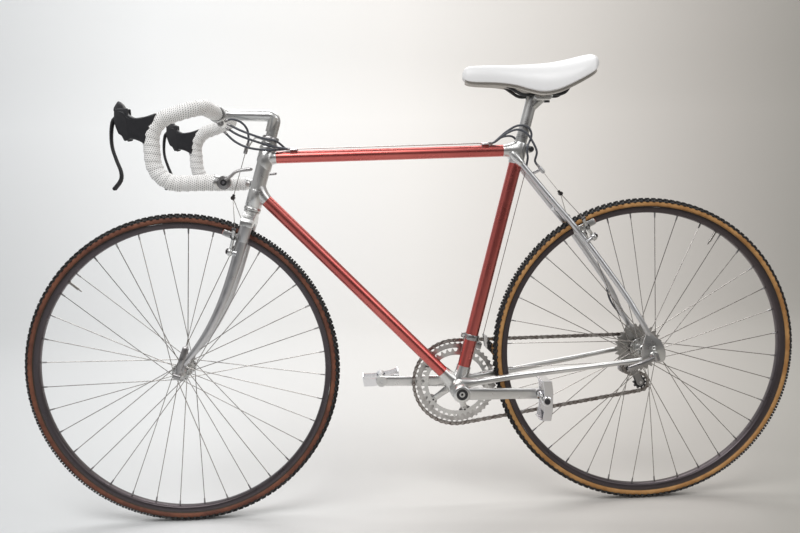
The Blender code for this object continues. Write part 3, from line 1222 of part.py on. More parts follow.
def make_front_derailleur():
    """A clamp band with its fixed block, and the cage that moves over the rings."""
    ring_radius = SEAT_TUBE_RADIUS + GAP
    band = pipe("front_derailleur_clamp", seat(FD_HEIGHT - 0.006), seat(FD_HEIGHT + 0.006),
                ring_radius + 0.0028, ring_radius, GREY, LARGE)
    lug = rod("lug", seat(FD_HEIGHT, -0.0230), seat(FD_HEIGHT, -0.0160), 0.0050, GREY, SLENDER)
    block = plate("block", [(0.0040, -0.0240), (0.0290, -0.0240), (0.0290, FD_BLOCK_TOP),
                            (0.0175, FD_BLOCK_TOP), (0.0175, 0.0040), (0.0040, 0.0040)],
                  seat(FD_HEIGHT), SEAT_BACK, SEAT_UP, Y, 0.0060, 0.0290, GREY)
    clear = rod("clear", seat(FD_HEIGHT - 0.03), seat(FD_HEIGHT + 0.03), ring_radius, GREY, LARGE)
    join(band, cut(block, clear), lug)
    inner_line, outer_line = RING_LINE - 0.0062, RING_LINE + 0.0062
    low = RING_RADIUS + CHAIN_HALF_HEIGHT + 0.0030
    angles = [radians(a) for a in (22, 32, 42, 50)]
    arc = [(low * cos(a), low * sin(a)) for a in angles]
    top = [((low + CAGE_DEPTH) * cos(a), (low + CAGE_DEPTH) * sin(a)) for a in reversed(angles)]
    bar_foot = seat(FD_HEIGHT + FD_BLOCK_TOP + GAP, 0.0195)
    ear_x, ear_z = bar_foot.x - BOTTOM.x, bar_foot.z - BOTTOM.z
    shoulder = [(0.0640, 0.1085), (0.0720, 0.1060)]
    ear = [(ear_x, ear_z - 0.0040), (ear_x, ear_z + 0.0050), *shoulder]
    inner = plate("front_derailleur_cage", arc + ear + top, BOTTOM, X, Z, Y, inner_line - 0.0012,
                  inner_line, GREY)
    outer = plate("outer", arc + [(0.0600, 0.0880), *shoulder] + top, BOTTOM, X, Z, Y, outer_line,
                  outer_line + 0.0012, GREY)
    tail = plate("tail", [((low + s) * cos(a), (low + s) * sin(a)) for s, a in
                          ((0.004, angles[0] + 0.02), (0.013, angles[0] + 0.02),
                           (0.013, angles[0] + 0.06), (0.004, angles[0] + 0.06))],
                 BOTTOM, X, Z, Y, inner_line - 0.0006, outer_line + 0.0006, GREY)
    roof = plate("roof", [(0.0650, 0.1035), (0.0650, 0.1060), (0.0710, 0.1055), (0.0710, 0.1030)],
                 BOTTOM, X, Z, Y, inner_line - 0.0006, outer_line + 0.0006, GREY)
    slide = plate("slide", [(0.0, 0.0), (0.0100, 0.0), (0.0100, 0.0045), (0.0, 0.0045)],
                  bar_foot, SEAT_BACK, SEAT_UP, Y, 0.0190, inner_line - 0.0006, GREY)
    return join(inner, outer, tail, roof, slide)


CAGE_INNER = COG_LINE - 0.0060
CAGE_OUTER = COG_LINE + 0.0060
PLATE_THICKNESS = 0.0015
PULLEY_BORE = 0.0034


def make_rear_derailleur():
    """The linkage body, the sprung cage and its two pulleys."""
    face = CAGE_OUTER + PLATE_THICKNESS + GAP
    under = KNUCKLE - REAR - Z * (KNUCKLE_RADIUS + GAP)
    outline = [(under.x + 0.0070, under.z), (under.x - 0.0060, under.z), (-0.0160, -0.0330),
               (-0.0330, -0.0420), (-0.0350, -0.0600), (-0.0230, -0.0680), (-0.0070, -0.0600),
               (0.0040, -0.0500)]
    body = plate("rear_derailleur_body", outline, REAR, X, Z, Y, face + 0.0010, face + 0.0135, SILVER)
    knuckle = rod("knuckle", GUIDE + Y * face, GUIDE + Y * (face + 0.016), 0.0098, SILVER)
    join(body, knuckle)
    gap = TENSION - GUIDE
    along = gap.normalized()
    cross = Vector((along.z, 0, -along.x))
    reach = gap.length
    outline = [(-0.0085, -0.0050), (0.0, -0.0100), (reach * 0.5, -0.0070), (reach, -0.0085),
               (reach + 0.0075, 0.0), (reach, 0.0085), (reach * 0.5, 0.0070), (0.0, 0.0100),
               (-0.0085, 0.0050)]
    inner = plate("rear_derailleur_cage", outline, GUIDE, along, cross, Y, CAGE_INNER - PLATE_THICKNESS,
                  CAGE_INNER, SILVER)
    outer = plate("outer", outline, GUIDE, along, cross, Y, CAGE_OUTER, CAGE_OUTER + PLATE_THICKNESS, SILVER)
    half = PLATE_THICKNESS / 2
    pins = [rod("pin", at + Y * (CAGE_INNER - half), at + Y * (CAGE_OUTER + half), PULLEY_BORE - FIT * 2,
                SILVER, SLENDER) for at in (GUIDE, TENSION)]
    join(inner, outer, *pins)
    for name, at in (("guide_pulley", GUIDE), ("tension_pulley", TENSION)):
        tip = PULLEY_RADIUS - TOOTH_UNDER_CHAIN
        wheel = plate(name, toothed(PULLEY_TEETH, tip, tip - 0.0030), at, X, Z, Y, COG_LINE - 0.0035,
                      COG_LINE + 0.0035, BLACK)
        cut(wheel, rod("bore", at, at + Y * 0.1, PULLEY_BORE, BLACK, SLENDER))


# Seat
CLAMP_BACK = 0.0175
CLAMP_UP = 0.0100
RAIL_MIDDLE = seat(POST_TOP + CLAMP_UP, CLAMP_BACK)


def make_seatpost():
    """The post with a two-piece style head, grooved for the saddle's rails."""
    post = rod("seatpost", seat(POST_TOP - POST_LENGTH), seat(POST_TOP), POST_RADIUS, SILVER, LARGE)
    head = plate("head", [(-0.0200, -0.0070), (-0.0140, -0.0115), (0.0140, -0.0115), (0.0200, -0.0060),
                          (0.0205, 0.0060), (0.0120, 0.0095), (-0.0120, 0.0095), (-0.0205, 0.0050)],
                 RAIL_MIDDLE, X, Z, Y, -0.0270, 0.0270, SILVER)
    neck = rod("neck", seat(POST_TOP - 0.018), RAIL_MIDDLE - Z * 0.004, POST_RADIUS * 0.92, SILVER)
    join(post, head, neck)
    grooves = []
    for _, side in SIDES:
        middle = RAIL_MIDDLE + Y * side * RAIL_SPACING / 2
        grooves.append(rod("groove", middle - X * 0.06, middle + X * 0.06, RAIL_RADIUS + GAP * 2, SILVER, 6))
    return cut(post, *grooves)


# Saddle stations from nose to tail: share of length, half width share, crown and rim heights
SADDLE_STATIONS = ((0.000, 0.17, 0.0560, 0.0400), (0.025, 0.240, 0.0650, 0.0340),
                   (0.090, 0.280, 0.0680, 0.0305), (0.250, 0.340, 0.0680, 0.0275),
                   (0.380, 0.440, 0.0675, 0.0210), (0.490, 0.570, 0.0680, 0.0100),
                   (0.590, 0.720, 0.0690, 0.0030), (0.690, 0.870, 0.0715, 0.0060),
                   (0.790, 0.965, 0.0760, 0.0170), (0.890, 1.000, 0.0820, 0.0310),
                   (0.960, 0.940, 0.0850, 0.0430), (1.000, 0.720, 0.0825, 0.0560))
SADDLE_ZERO = RAIL_MIDDLE - Z * 0.0015
COVER_THICKNESS = 0.0120


COVER_ARCH = ((-1.0, 0.0), (-0.985, 0.45), (-0.86, 0.78), (-0.5, 0.96), (0.0, 1.0), (0.5, 0.96),
              (0.86, 0.78), (0.985, 0.45), (1.0, 0.0))
BASE_ARCH = ((-1.0, 0.0), (-0.9, 0.72), (-0.4, 1.0), (0.4, 1.0), (0.9, 0.72), (1.0, 0.0))


def saddle_section(station, inset, drop, roof, arch):
    """Half ring from rim to rim over the crown, inset from the cover's outer skin."""
    share, half, crown, rim = station
    x = SADDLE_ZERO.x - SADDLE_NOSE_AHEAD + SADDLE_LENGTH * share
    width = SADDLE_WIDTH / 2 * half - inset
    high, low = crown - roof, min(rim + drop, crown - roof - 0.002)
    points = []
    for y, z in arch:
        points.append(Vector((x, width * y, SADDLE_ZERO.z + low + (high - low) * z)))
    return points


def make_saddle():
    """A padded cover drawn down at the sides, over a moulded base with its rails."""
    rings = []
    for station in SADDLE_STATIONS:
        outer = saddle_section(station, 0.0, 0.0, 0.0, COVER_ARCH)
        inner = saddle_section(station, 0.0055, 0.0, COVER_THICKNESS, BASE_ARCH)
        rings.append(outer + list(reversed(inner)))
    skin("saddle_cover", rings, WHITE)
    rings = []
    for station in SADDLE_STATIONS[1:-1]:
        outer = saddle_section(station, 0.0090, 0.0020, COVER_THICKNESS + 0.0020, BASE_ARCH)
        inner = saddle_section(station, 0.0120, 0.0020, COVER_THICKNESS + 0.0055, BASE_ARCH)
        rings.append(outer + list(reversed(inner)))
    base = skin("saddle_base", rings, BLACK)
    rails = []
    for _, side in SIDES:
        half = RAIL_SPACING / 2
        ahead, behind = RAIL_MIDDLE.x - 0.045, RAIL_MIDDLE.x + 0.048
        corners = [(Vector((RAIL_MIDDLE.x - 0.128, 0.0065 * side, SADDLE_ZERO.z + 0.0495)), 0),
                   (Vector((ahead - 0.045, 0.012 * side, RAIL_MIDDLE.z + 0.030)), 0.030),
                   (Vector((ahead, half * side, RAIL_MIDDLE.z)), 0.030),
                   (Vector((behind, half * side, RAIL_MIDDLE.z)), 0.022),
                   (Vector((behind + 0.030, (half + 0.012) * side, SADDLE_ZERO.z + 0.0610)), 0)]
        rails.append(sweep("rail", frames_along(rounded(corners, 2), Y), RAIL_RADIUS, BLACK, 6))
    return join(base, *rails)


FERRULE_STEP = 0.0002


# Cables: each is a housing that tapers to its bare wire, along hand-placed points
def cable(name, legs):
    """A tube through legs of (points, radius), each leg smoothed by itself."""
    path, radii = [], []
    for points, radius in legs:
        bare = radius == WIRE_RADIUS
        stretch = list(points) if bare else smooth_curve(points, HOUSING_RADIUS * 6)
        if path:
            stretch[0] = path[-1] + (stretch[1] - path[-1]).normalized() * FERRULE_STEP
        path += stretch
        radii += [radius] * len(stretch)
    curve = bpy.data.curves.new(name, "CURVE")
    curve.dimensions = "3D"
    curve.bevel_depth = 1.0
    curve.bevel_resolution = 1
    curve.use_fill_caps = True
    line = curve.splines.new("POLY")
    line.points.add(len(path) - 1)
    for point, place, radius in zip(line.points, path, radii):
        point.co = (*place, 1.0)
        point.radius = radius
    made = bpy.data.objects.new(name, curve)
    bpy.context.scene.collection.objects.link(made)
    curve.materials.append(HOUSING)
    return made


def as_mesh(made):
    """Turn a cable's curve into a mesh, so that a Boolean can join its carrier to it."""
    bpy.context.view_layer.update()
    mesh = bpy.data.meshes.new_from_object(made.evaluated_get(bpy.context.evaluated_depsgraph_get()))
    name = made.name
    bpy.data.objects.remove(made, do_unlink=True)
    mesh.materials.clear()
    mesh.materials.append(HOUSING)
    solid_made = bpy.data.objects.new(name, mesh)
    bpy.context.scene.collection.objects.link(solid_made)
    return solid_made


def straddle(brake_frame, carrier, name):
    """The carrier and the wires that run from it to both arms' ends."""
    block = rod(name, carrier - Y * 0.0055, carrier + Y * 0.0055, 0.0045, GREY, SLENDER)
    pieces = []
    for _, side in SIDES:
        at, up, out, _ = brake_frame(side)
        tip = at + Y * side * 0.0235 + up * (ARM_HEIGHT + 0.0026) + out * (ARM_OUT + 0.00425)
        pieces.append(rod("strand", carrier + Y * side * 0.003, tip, WIRE_RADIUS, GREY, 4))
    return join(block, *pieces)


FRONT_CARRIER = steer(TYRE_RADIUS + 0.0320, HANGER_FORE + 0.0015)


def make_front_brake_cable():
    barrel_top = steer(HANGER_HIGH + GAP, HANGER_FORE)
    housing = [by_head(-0.0788, -0.0290, 0.0767), by_head(-0.0648, -0.0270, 0.0812),
               by_head(-0.0468, -0.0190, 0.0757), by_head(-0.0353, -0.0090, 0.0607),
               steer(HANGER_HIGH + 0.012, HANGER_FORE - 0.0002), steer(HANGER_HIGH + 0.006, HANGER_FORE),
               barrel_top]
    line = as_mesh(cable("brake_cable_front", [(housing, HOUSING_RADIUS),
                                               ([barrel_top, FRONT_CARRIER], WIRE_RADIUS)]))
    return join(line, straddle(front_brake_frame, FRONT_CARRIER, "straddle"))


def wire_run(lane):
    """The bare stretch along the top tube, from one stop to the other."""
    front, rear = STOP_PLACES
    ahead = Vector((front.x - GAP * 2, lane, WIRE_HEIGHT))
    behind = Vector((rear.x + STOP_LENGTH + GAP * 2, lane, WIRE_HEIGHT))
    return [ahead, behind]


def make_long_cables():
    lanes = WIRE_LANES
    front, rear = STOP_PLACES
    into = [Vector((front.x - 0.008, lane, WIRE_HEIGHT + 0.0006)) for lane in lanes]
    front_runs = (
        [by_head(-0.0758, -0.0265, 0.0637), by_head(-0.0508, -0.0300, 0.0477),
         by_head(-0.0108, -0.0300, 0.0317), by_head(0.0212, -0.0200, 0.0217)],
        [by_head(-0.0808, -0.0250, 0.0557), by_head(-0.0588, -0.0330, 0.0347),
         by_head(-0.0308, -0.0375, 0.0207), by_head(0.0042, -0.0285, 0.0152),
         by_head(0.0312, -0.0060, 0.0162)],
        [by_head(-0.0728, -0.0330, 0.0717), by_head(-0.0428, -0.0370, 0.0557),
         by_head(-0.0028, -0.0340, 0.0402), by_head(0.0232, -0.0190, 0.0347),
         by_head(0.0332, -0.0050, 0.0277), by_head(0.0402, 0.0040, 0.0207)])
    runs = []
    for points, near, lane in zip(front_runs, into, lanes):
        runs.append(([*points, near, wire_run(lane)[0]], HOUSING_RADIUS))
    wires = [(wire_run(lane), WIRE_RADIUS) for lane in lanes]
    leave = [Vector((rear.x + STOP_LENGTH + 0.012, lane, WIRE_HEIGHT + 0.0012)) for lane in lanes]
    hanger, carrier = REAR_HANGER, REAR_CARRIER
    aim = (carrier - hanger).normalized()
    brake_tail = [wires[0][0][1], leave[0], by_seat(-0.0312, -0.0190, 0.0347),
                  by_seat(-0.0082, -0.0240, 0.0427), by_seat(0.0128, -0.0225, 0.0347),
                  by_seat(0.0263, -0.0195, 0.0167), by_seat(0.0363, -0.0150, -0.0053),
                  hanger - aim * 0.0230 - Y * 0.0030, hanger - aim * 0.0130, hanger - aim * 0.0095,
                  hanger - aim * (0.0060 + GAP)]
    brake = as_mesh(cable("brake_cable_rear", [runs[0], wires[0], (brake_tail, HOUSING_RADIUS),
                                               ([brake_tail[-1], carrier], WIRE_RADIUS)]))
    join(brake, straddle(rear_brake_frame, carrier, "straddle"))
    fd_tail = [wires[1][0][1], leave[1], by_seat(-0.0282, -0.0105, 0.0397),
               by_seat(-0.0042, -0.0172, 0.0517), by_seat(0.0178, -0.0165, 0.0477),
               by_seat(0.0258, -0.0130, 0.0327), by_seat(0.0228, -0.0140, 0.0207),
               by_seat(0.0158, -0.0190, 0.0087), by_seat(0.0138, -0.0200, -0.0043),
               by_seat(0.0168, -0.0130, -0.0163), by_seat(0.0163, -0.0040, -0.0303),
               seat(SEAT_LUG_BOTTOM - 0.014, SEAT_TUBE_RADIUS + 0.0115)]
    fd_wire = [fd_tail[-1], seat(FD_HEIGHT + 0.0100, SEAT_TUBE_RADIUS + 0.0105)]
    cable("shift_cable_front", [runs[1], wires[1], (fd_tail, HOUSING_RADIUS), (fd_wire, WIRE_RADIUS)])
    rd_tail = [wires[2][0][1], leave[2], by_seat(-0.0312, 0.0170, 0.0307),
               by_seat(-0.0062, 0.0250, 0.0297), by_seat(0.0098, 0.0310, 0.0037),
               by_seat(0.0158, 0.0330, -0.0263), by_seat(0.0243, 0.0329, -0.0603)]
    beside = Vector((-0.0010, 0.0107, 0))
    upper, lower = stay_point(STAY_BEND, 1) + beside, stay_point(STAY_LOWER, 1) + beside
    loop = [lower, lower.lerp(stay_foot(1), 0.5) + Vector((-0.010, 0.0120, 0)),
            REAR + Vector((0.0060, 0.0840, 0.0330)), REAR + Vector((0.0300, 0.0900, 0.0080)),
            REAR + Vector((0.0240, 0.0860, -0.0300)), REAR + Vector((0.0080, 0.0800, -0.0440))]
    cable("shift_cable_rear", [runs[2], wires[2], (rd_tail, HOUSING_RADIUS),
                               ([rd_tail[-1], upper, lower], WIRE_RADIUS),
                               (loop, HOUSING_RADIUS)])


# Joint axes: each moving piece hangs from an empty on its own axis
def pivot(name, place, pieces, carrier=None):
    """An empty at a joint, carried by another joint's empty, that carries the pieces."""
    anchor = bpy.data.objects.new(name, None)
    anchor.empty_display_size = 0.02
    bpy.context.scene.collection.objects.link(anchor)
    anchor.parent = carrier
    anchor.location = place - Vector(carrier["place"]) if carrier else place
    anchor["place"] = place
    for piece in pieces:
        made = bpy.data.objects[piece]
        made.parent = anchor
        made.location = -place
    return anchor


def hang_moving_pieces():
    steering = pivot("steering_axis", STEER_FOOT,
                     ["fork_crown", "fork_blade_left", "fork_blade_right", "headset_race", "stem",
                      "handlebar", "bar_tape_left", "bar_tape_right", "brake_hood_left",
                      "brake_hood_right", "shifter_pod_left", "shifter_pod_right", "front_skewer",
                      "brake_cable_front"])
    pivot("seatpost_axis", seat(POST_TOP), ["seatpost", "saddle_base", "saddle_cover"])
    pivot("front_wheel_axis", FRONT, ["front_tyre", "front_rim", "front_hub"], steering)
    pivot("rear_wheel_axis", REAR, ["rear_tyre", "rear_rim", "rear_hub"])
    pivot("sprocket_axis", REAR, ["cassette"])
    pivot("front_cam_axis", cam_pivot(FRONT, FRONT_TIP_FACE), ["front_quick_release"], steering)
    pivot("rear_cam_axis", cam_pivot(REAR, REAR_TIP_FACE), ["rear_quick_release"])
    crank = pivot("crank_axis", BOTTOM, ["crank_left", "crank_right", "chainring_outer"])
    for label, side in SIDES:
        lever = bar_plane(*LEVER_PIVOT, LEVER_SIDE * side)
        pivot(f"brake_lever_axis_{label}", lever, [f"brake_lever_{label}"], steering)
        shifter = bar_plane(*POD, SHIFTER_SIDE * side)
        pivot(f"shift_lever_axis_{label}", shifter, [f"shift_lever_{label}"], steering)
        front_stud, rear_stud = front_brake_frame(side)[0], rear_brake_frame(side)[0]
        pivot(f"front_arm_axis_{label}", front_stud, [f"brake_arm_front_{label}"], steering)
        pivot(f"rear_arm_axis_{label}", rear_stud, [f"brake_arm_rear_{label}"])
        pedal = BOTTOM - CRANK_DIRECTION * (CRANK_LENGTH * side) + Y * side * CRANK_OUTSET
        pivot(f"pedal_axis_{label}", pedal, [f"pedal_{label}"], crank)
    pivot("front_changer_axis", seat(FD_HEIGHT), ["front_derailleur_cage"])
    changer = pivot("rear_changer_axis", KNUCKLE + Y * COG_LINE, ["rear_derailleur_body"])
    cage = pivot("tensioner_axis", GUIDE + Y * COG_LINE, ["rear_derailleur_cage"], changer)
    pivot("guide_axis", GUIDE + Y * COG_LINE, ["guide_pulley"], cage)
    pivot("tension_axis", TENSION + Y * COG_LINE, ["tension_pulley"], cage)


# The whole bicycle
make_head_tube()
make_top_tube()
make_tubes()
make_seat_lug()
make_bb_shell()
for label, side in SIDES:
    make_chainstay(label, side)
    make_seatstay(label, side)
    make_fork_blade(label, side)
    make_hood(label, side)
    make_brake_lever(label, side)
    make_shifter(label, side)
    make_brake_arm(f"brake_arm_front_{label}", side, *front_brake_frame(side))
    make_brake_arm(f"brake_arm_rear_{label}", side, *rear_brake_frame(side))
make_fork_crown()
make_headset_race()
make_stem()
make_bar()
for place, centre, flanges, flange_radius, face, barrel in (
        ("front", FRONT, (-0.0345, 0.0345), FRONT_FLANGE_RADIUS, FRONT_OVER_LOCKNUTS / 2, 0.0085),
        ("rear", REAR, (-0.0345, 0.0180), REAR_FLANGE_RADIUS, REAR_OVER_LOCKNUTS / 2, 0.0125)):
    make_tyre(f"{place}_tyre", centre)
    make_rim(f"{place}_rim", centre)
    make_hub(f"{place}_hub", centre, flanges, flange_radius, face, barrel)
make_skewer("front_skewer", FRONT, FRONT_TIP_FACE)
make_skewer("rear_skewer", REAR, REAR_TIP_FACE)
make_quick_release("front_quick_release", FRONT, FRONT_TIP_FACE, Vector((0.34, 0, 0.94)).normalized())
make_quick_release("rear_quick_release", REAR, REAR_TIP_FACE, Vector((-0.93, 0, -0.37)).normalized())
make_left_crank()
make_right_crank()
make_outer_ring()
make_pedal("left", -1.0, CRANK_DIRECTION, radians(88))
make_pedal("right", 1.0, -CRANK_DIRECTION, radians(8))
make_cassette()
make_chain()
make_front_derailleur()
make_rear_derailleur()
make_seatpost()
make_saddle()
make_front_brake_cable()
make_long_cables()
hang_moving_pieces()
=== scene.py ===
# %% [markdown]
# # A cyclocross bicycle, dressed for its portrait
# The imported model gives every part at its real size, with +X towards the rear wheel and the
# rider's left side at -Y. We load it first. Everything we add is placed from its joints and
# boxes, so nothing has to be fitted afterwards. Lengths here are millimetres. The helpers that
# make meshes bring them to the frame's metres.

# %% Load the frame
import json
import bpy
import bmesh
from math import asin, atan2, ceil, cos, hypot, pi, radians, sin, sqrt, tan
from mathutils import Matrix, Vector, noise


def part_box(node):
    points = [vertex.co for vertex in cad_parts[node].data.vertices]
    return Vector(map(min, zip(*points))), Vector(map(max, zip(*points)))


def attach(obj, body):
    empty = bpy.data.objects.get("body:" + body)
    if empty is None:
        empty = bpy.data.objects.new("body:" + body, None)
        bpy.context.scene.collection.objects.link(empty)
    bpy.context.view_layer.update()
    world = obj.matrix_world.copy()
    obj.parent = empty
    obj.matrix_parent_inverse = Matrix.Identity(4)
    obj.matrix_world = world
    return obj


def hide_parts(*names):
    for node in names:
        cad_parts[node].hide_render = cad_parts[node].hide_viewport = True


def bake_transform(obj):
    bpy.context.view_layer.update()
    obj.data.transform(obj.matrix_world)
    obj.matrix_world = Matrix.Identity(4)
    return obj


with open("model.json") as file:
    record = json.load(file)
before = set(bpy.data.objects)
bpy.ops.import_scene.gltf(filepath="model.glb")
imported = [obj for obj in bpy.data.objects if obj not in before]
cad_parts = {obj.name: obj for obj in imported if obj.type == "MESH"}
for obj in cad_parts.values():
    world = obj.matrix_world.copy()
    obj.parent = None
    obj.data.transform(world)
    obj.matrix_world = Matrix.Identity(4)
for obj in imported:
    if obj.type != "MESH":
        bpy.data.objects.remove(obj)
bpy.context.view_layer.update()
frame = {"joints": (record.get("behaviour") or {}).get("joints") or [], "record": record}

MM = 0.001
X, Y, Z = Vector((1, 0, 0)), Vector((0, 1, 0)), Vector((0, 0, 1))
SIDES = (("left", -1.0), ("right", 1.0))
JOINTS = {joint["name"]: joint for joint in frame["joints"]}
RECORD = frame["record"]
BODY_OF = {node: body for body, nodes in RECORD["behaviour"]["bodies"].items() for node in nodes}

# %% [markdown]
# ## Datums
# A bicycle is drawn from three centres: the two axles and the bottom bracket. The steering axis
# and the seat tube give two slanted directions. With those we can name a point the way a frame
# builder does: so far up the head tube, so far ahead of it.

# %% Centres and slanted directions
def vec(x, y, z):
    return Vector((x, y, z))


def joint_at(name):
    """A joint's place, which a slide doesn't have, and the direction of its axis."""
    joint = JOINTS[name]
    return Vector(joint.get("pos_m", (0, 0, 0))) / MM, Vector(joint["axis"]).normalized()


FRONT, REAR, BOTTOM = (joint_at(f"{name}_spin")[0] for name in ("front_wheel", "rear_wheel", "crank"))
STEER_UP, SEAT_UP = joint_at("steering_turn")[1], joint_at("seatpost_height")[1]
STEER_FORE, SEAT_BACK = vec(-STEER_UP.z, 0, STEER_UP.x), vec(SEAT_UP.z, 0, -SEAT_UP.x)
FORK_RAKE = 56.2
STEER_FOOT = FRONT + X * (FORK_RAKE / STEER_UP.z)


def steer(along, fore=0.0, side=0.0):
    return STEER_FOOT + STEER_UP * along + STEER_FORE * fore + Y * side


def seat(along, back=0.0):
    return BOTTOM + SEAT_UP * along + SEAT_BACK * back


def radial(angle):
    """A direction in the wheels' plane."""
    return vec(cos(angle), 0, sin(angle))


def upright(way):
    """The upward direction square to another in the wheels' plane."""
    return vec(-way.z, 0, way.x) if way.x > 0 else vec(way.z, 0, -way.x)


print("wheelbase", round((REAR - FRONT).length, 1))

# %% [markdown]
# ## Camera
# The photograph was taken from the left side, slightly above the top tube and a little off
# square, with a moderately wide lens. The angles are the camera's turn, its downward tilt and
# its slight lean.

# %% Place the camera
CAMERA_PLACE = vec(-109.1, -1737.6, 719.5)
CAMERA_TURN, CAMERA_TILT, CAMERA_LEAN = 2.605, 5.643, -1.856
LENS_PIXELS, PICTURE_WIDTH, SENSOR_WIDTH = 797.7, 800, 36.0
eye = bpy.data.objects.new("camera", bpy.data.cameras.new("camera"))
bpy.context.scene.collection.objects.link(eye)
eye.data.sensor_width = SENSOR_WIDTH
eye.data.lens = SENSOR_WIDTH * LENS_PIXELS / PICTURE_WIDTH
eye.data.clip_end = 60.0
eye.matrix_world = Matrix.Translation(CAMERA_PLACE * MM)
for degrees, axis in ((-CAMERA_TURN, "Z"), (90 - CAMERA_TILT, "X"), (CAMERA_LEAN, "Z")):
    eye.matrix_world = eye.matrix_world @ Matrix.Rotation(radians(degrees), 4, axis)
bpy.context.scene.camera = eye
print("lens", round(eye.data.lens, 1), "mm")

# %% [markdown]
# ## Finishes
# Each finish starts from one Principled shader. Small helpers add what real surfaces have: a
# mottle that varies a value in patches, and a bump for grain. Both read Object coordinates, so
# a pattern stays on its piece when the bicycle moves.

# %% Shader helpers
def add(look, kind, sockets=(), **settings):
    """Add a node: sockets are linked from other sockets or set to values."""
    made = look.node_tree.nodes.new("ShaderNode" + kind)
    for name, value in settings.items():
        setattr(made, name, value)
    for socket, value in dict(sockets).items():
        if isinstance(value, bpy.types.NodeSocket):
            look.node_tree.links.new(value, made.inputs[socket])
        else:
            made.inputs[socket].default_value = value
    return made


def feed(look, socket, out):
    look.node_tree.links.new(out, look.node_tree.nodes["Principled BSDF"].inputs[socket])


def ranged(look, value, *ends):
    """Carry a value from one range to another: from low, from high, to low, to high."""
    limits = dict(zip(("From Min", "From Max", "To Min", "To Max"), ends))
    return add(look, "MapRange", {"Value": value, **limits}).outputs["Result"]


def patches(look, scale, detail=3):
    place = add(look, "TexCoord").outputs["Object"]
    noisy = add(look, "TexNoise", {"Vector": place, "Scale": scale, "Detail": detail})
    return noisy.outputs["Fac"]


def vary(look, socket, field, low, high):
    """Spread a socket's value, or its colour, over a noise field."""
    if isinstance(low, tuple):
        ramp = add(look, "ValToRGB", {"Fac": field})
        for stop, place, colour in ((0, 0.35, low), (1, 0.65, high)):
            ramp.color_ramp.elements[stop].position = place
            ramp.color_ramp.elements[stop].color = (*colour, 1.0)
        feed(look, socket, ramp.outputs["Color"])
    else:
        feed(look, socket, ranged(look, field, 0.3, 0.7, low, high))


def finish(name, colour, roughness, metallic=0.0, rough=None, tint=None, bump=None, **sockets):
    """A finish; rough and tint are (scale, low, high), bump (scale, detail, strength, depth)."""
    look = bpy.data.materials.new(name)
    look.use_nodes = True
    shader = look.node_tree.nodes["Principled BSDF"]
    sockets |= {"Base Color": (*colour, 1.0), "Roughness": roughness, "Metallic": metallic}
    for socket, value in sockets.items():
        shader.inputs[socket.replace("_", " ")].default_value = value
    look.diffuse_color = (*colour, 1.0)
    for socket, change in (("Roughness", rough), ("Base Color", tint)):
        if change:
            vary(look, socket, patches(look, change[0], *change[3:]), *change[1:3])
    if bump:
        scale, detail, strength, depth = bump
        field = patches(look, scale, detail)
        made = add(look, "Bump", {"Strength": strength, "Distance": depth * MM, "Height": field})
        feed(look, "Normal", made.outputs["Normal"])
    return look


# %% [markdown]
# ### Metals
# The lugs, stays and fork are polished aluminium, dulled in patches by handling. The main tubes
# are red anodised: the dye sits in the metal, so the colour is metallic and its gloss follows
# the drawn tube. Steel parts carry a faint oily mottle.

# %% Metals
POLISHED = finish("polished aluminium", (0.7, 0.7, 0.7), 0.29, 1.0, rough=(45, 0.26, 0.33),
                  tint=(12, (0.63, 0.63, 0.62), (0.71, 0.71, 0.7)))
SATIN = finish("satin aluminium", (0.6, 0.6, 0.61), 0.34, 1.0, rough=(60, 0.27, 0.42),
               bump=(900, 2, 0.12, 0.3))
RED = finish("red anodised tube", (0.58, 0.13, 0.115), 0.28, 1.0, rough=(40, 0.25, 0.32),
             tint=(5, (0.54, 0.11, 0.1), (0.62, 0.15, 0.13), 2), Coat_Weight=0.5, Coat_Roughness=0.2)
CHROME = finish("chromed steel", (0.78, 0.78, 0.8), 0.1, 1.0, rough=(80, 0.06, 0.16))
DARK_ALLOY = finish("dark anodised rim", (0.1, 0.085, 0.09), 0.32, 0.9, rough=(25, 0.25, 0.42))
GREY_ALLOY = finish("grey alloy", (0.36, 0.35, 0.35), 0.3, 1.0, rough=(90, 0.22, 0.38))
SPOKE_STEEL = finish("spoke steel", (0.38, 0.36, 0.34), 0.25, 1.0, rough=(120, 0.18, 0.3))
CHAIN_STEEL = finish("oiled chain steel", (0.3, 0.27, 0.25), 0.35, 1.0,
                     tint=(140, (0.16, 0.13, 0.12), (0.42, 0.4, 0.38)))
COG_STEEL = finish("sprocket steel", (0.55, 0.54, 0.53), 0.3, 1.0,
                   tint=(70, (0.42, 0.41, 0.4), (0.62, 0.61, 0.6)))
WORN = finish("worn dropout alloy", (0.34, 0.29, 0.27), 0.36, 1.0,
              tint=(60, (0.24, 0.2, 0.185), (0.44, 0.39, 0.36)))
DARK_BOLT = finish("blackened bolt", (0.09, 0.085, 0.085), 0.32, 1.0, rough=(150, 0.25, 0.4))

# %% [markdown]
# ### Rubber, plastic and covers
# The tread is matt black, the rear sidewall a golden tan cotton and the front one a dark
# reddish brown: cords under thin rubber, with a fine ribbed bump and a mottled dye. The hoods
# are black rubber and the levers a satin black. The saddle has a smooth white cover.

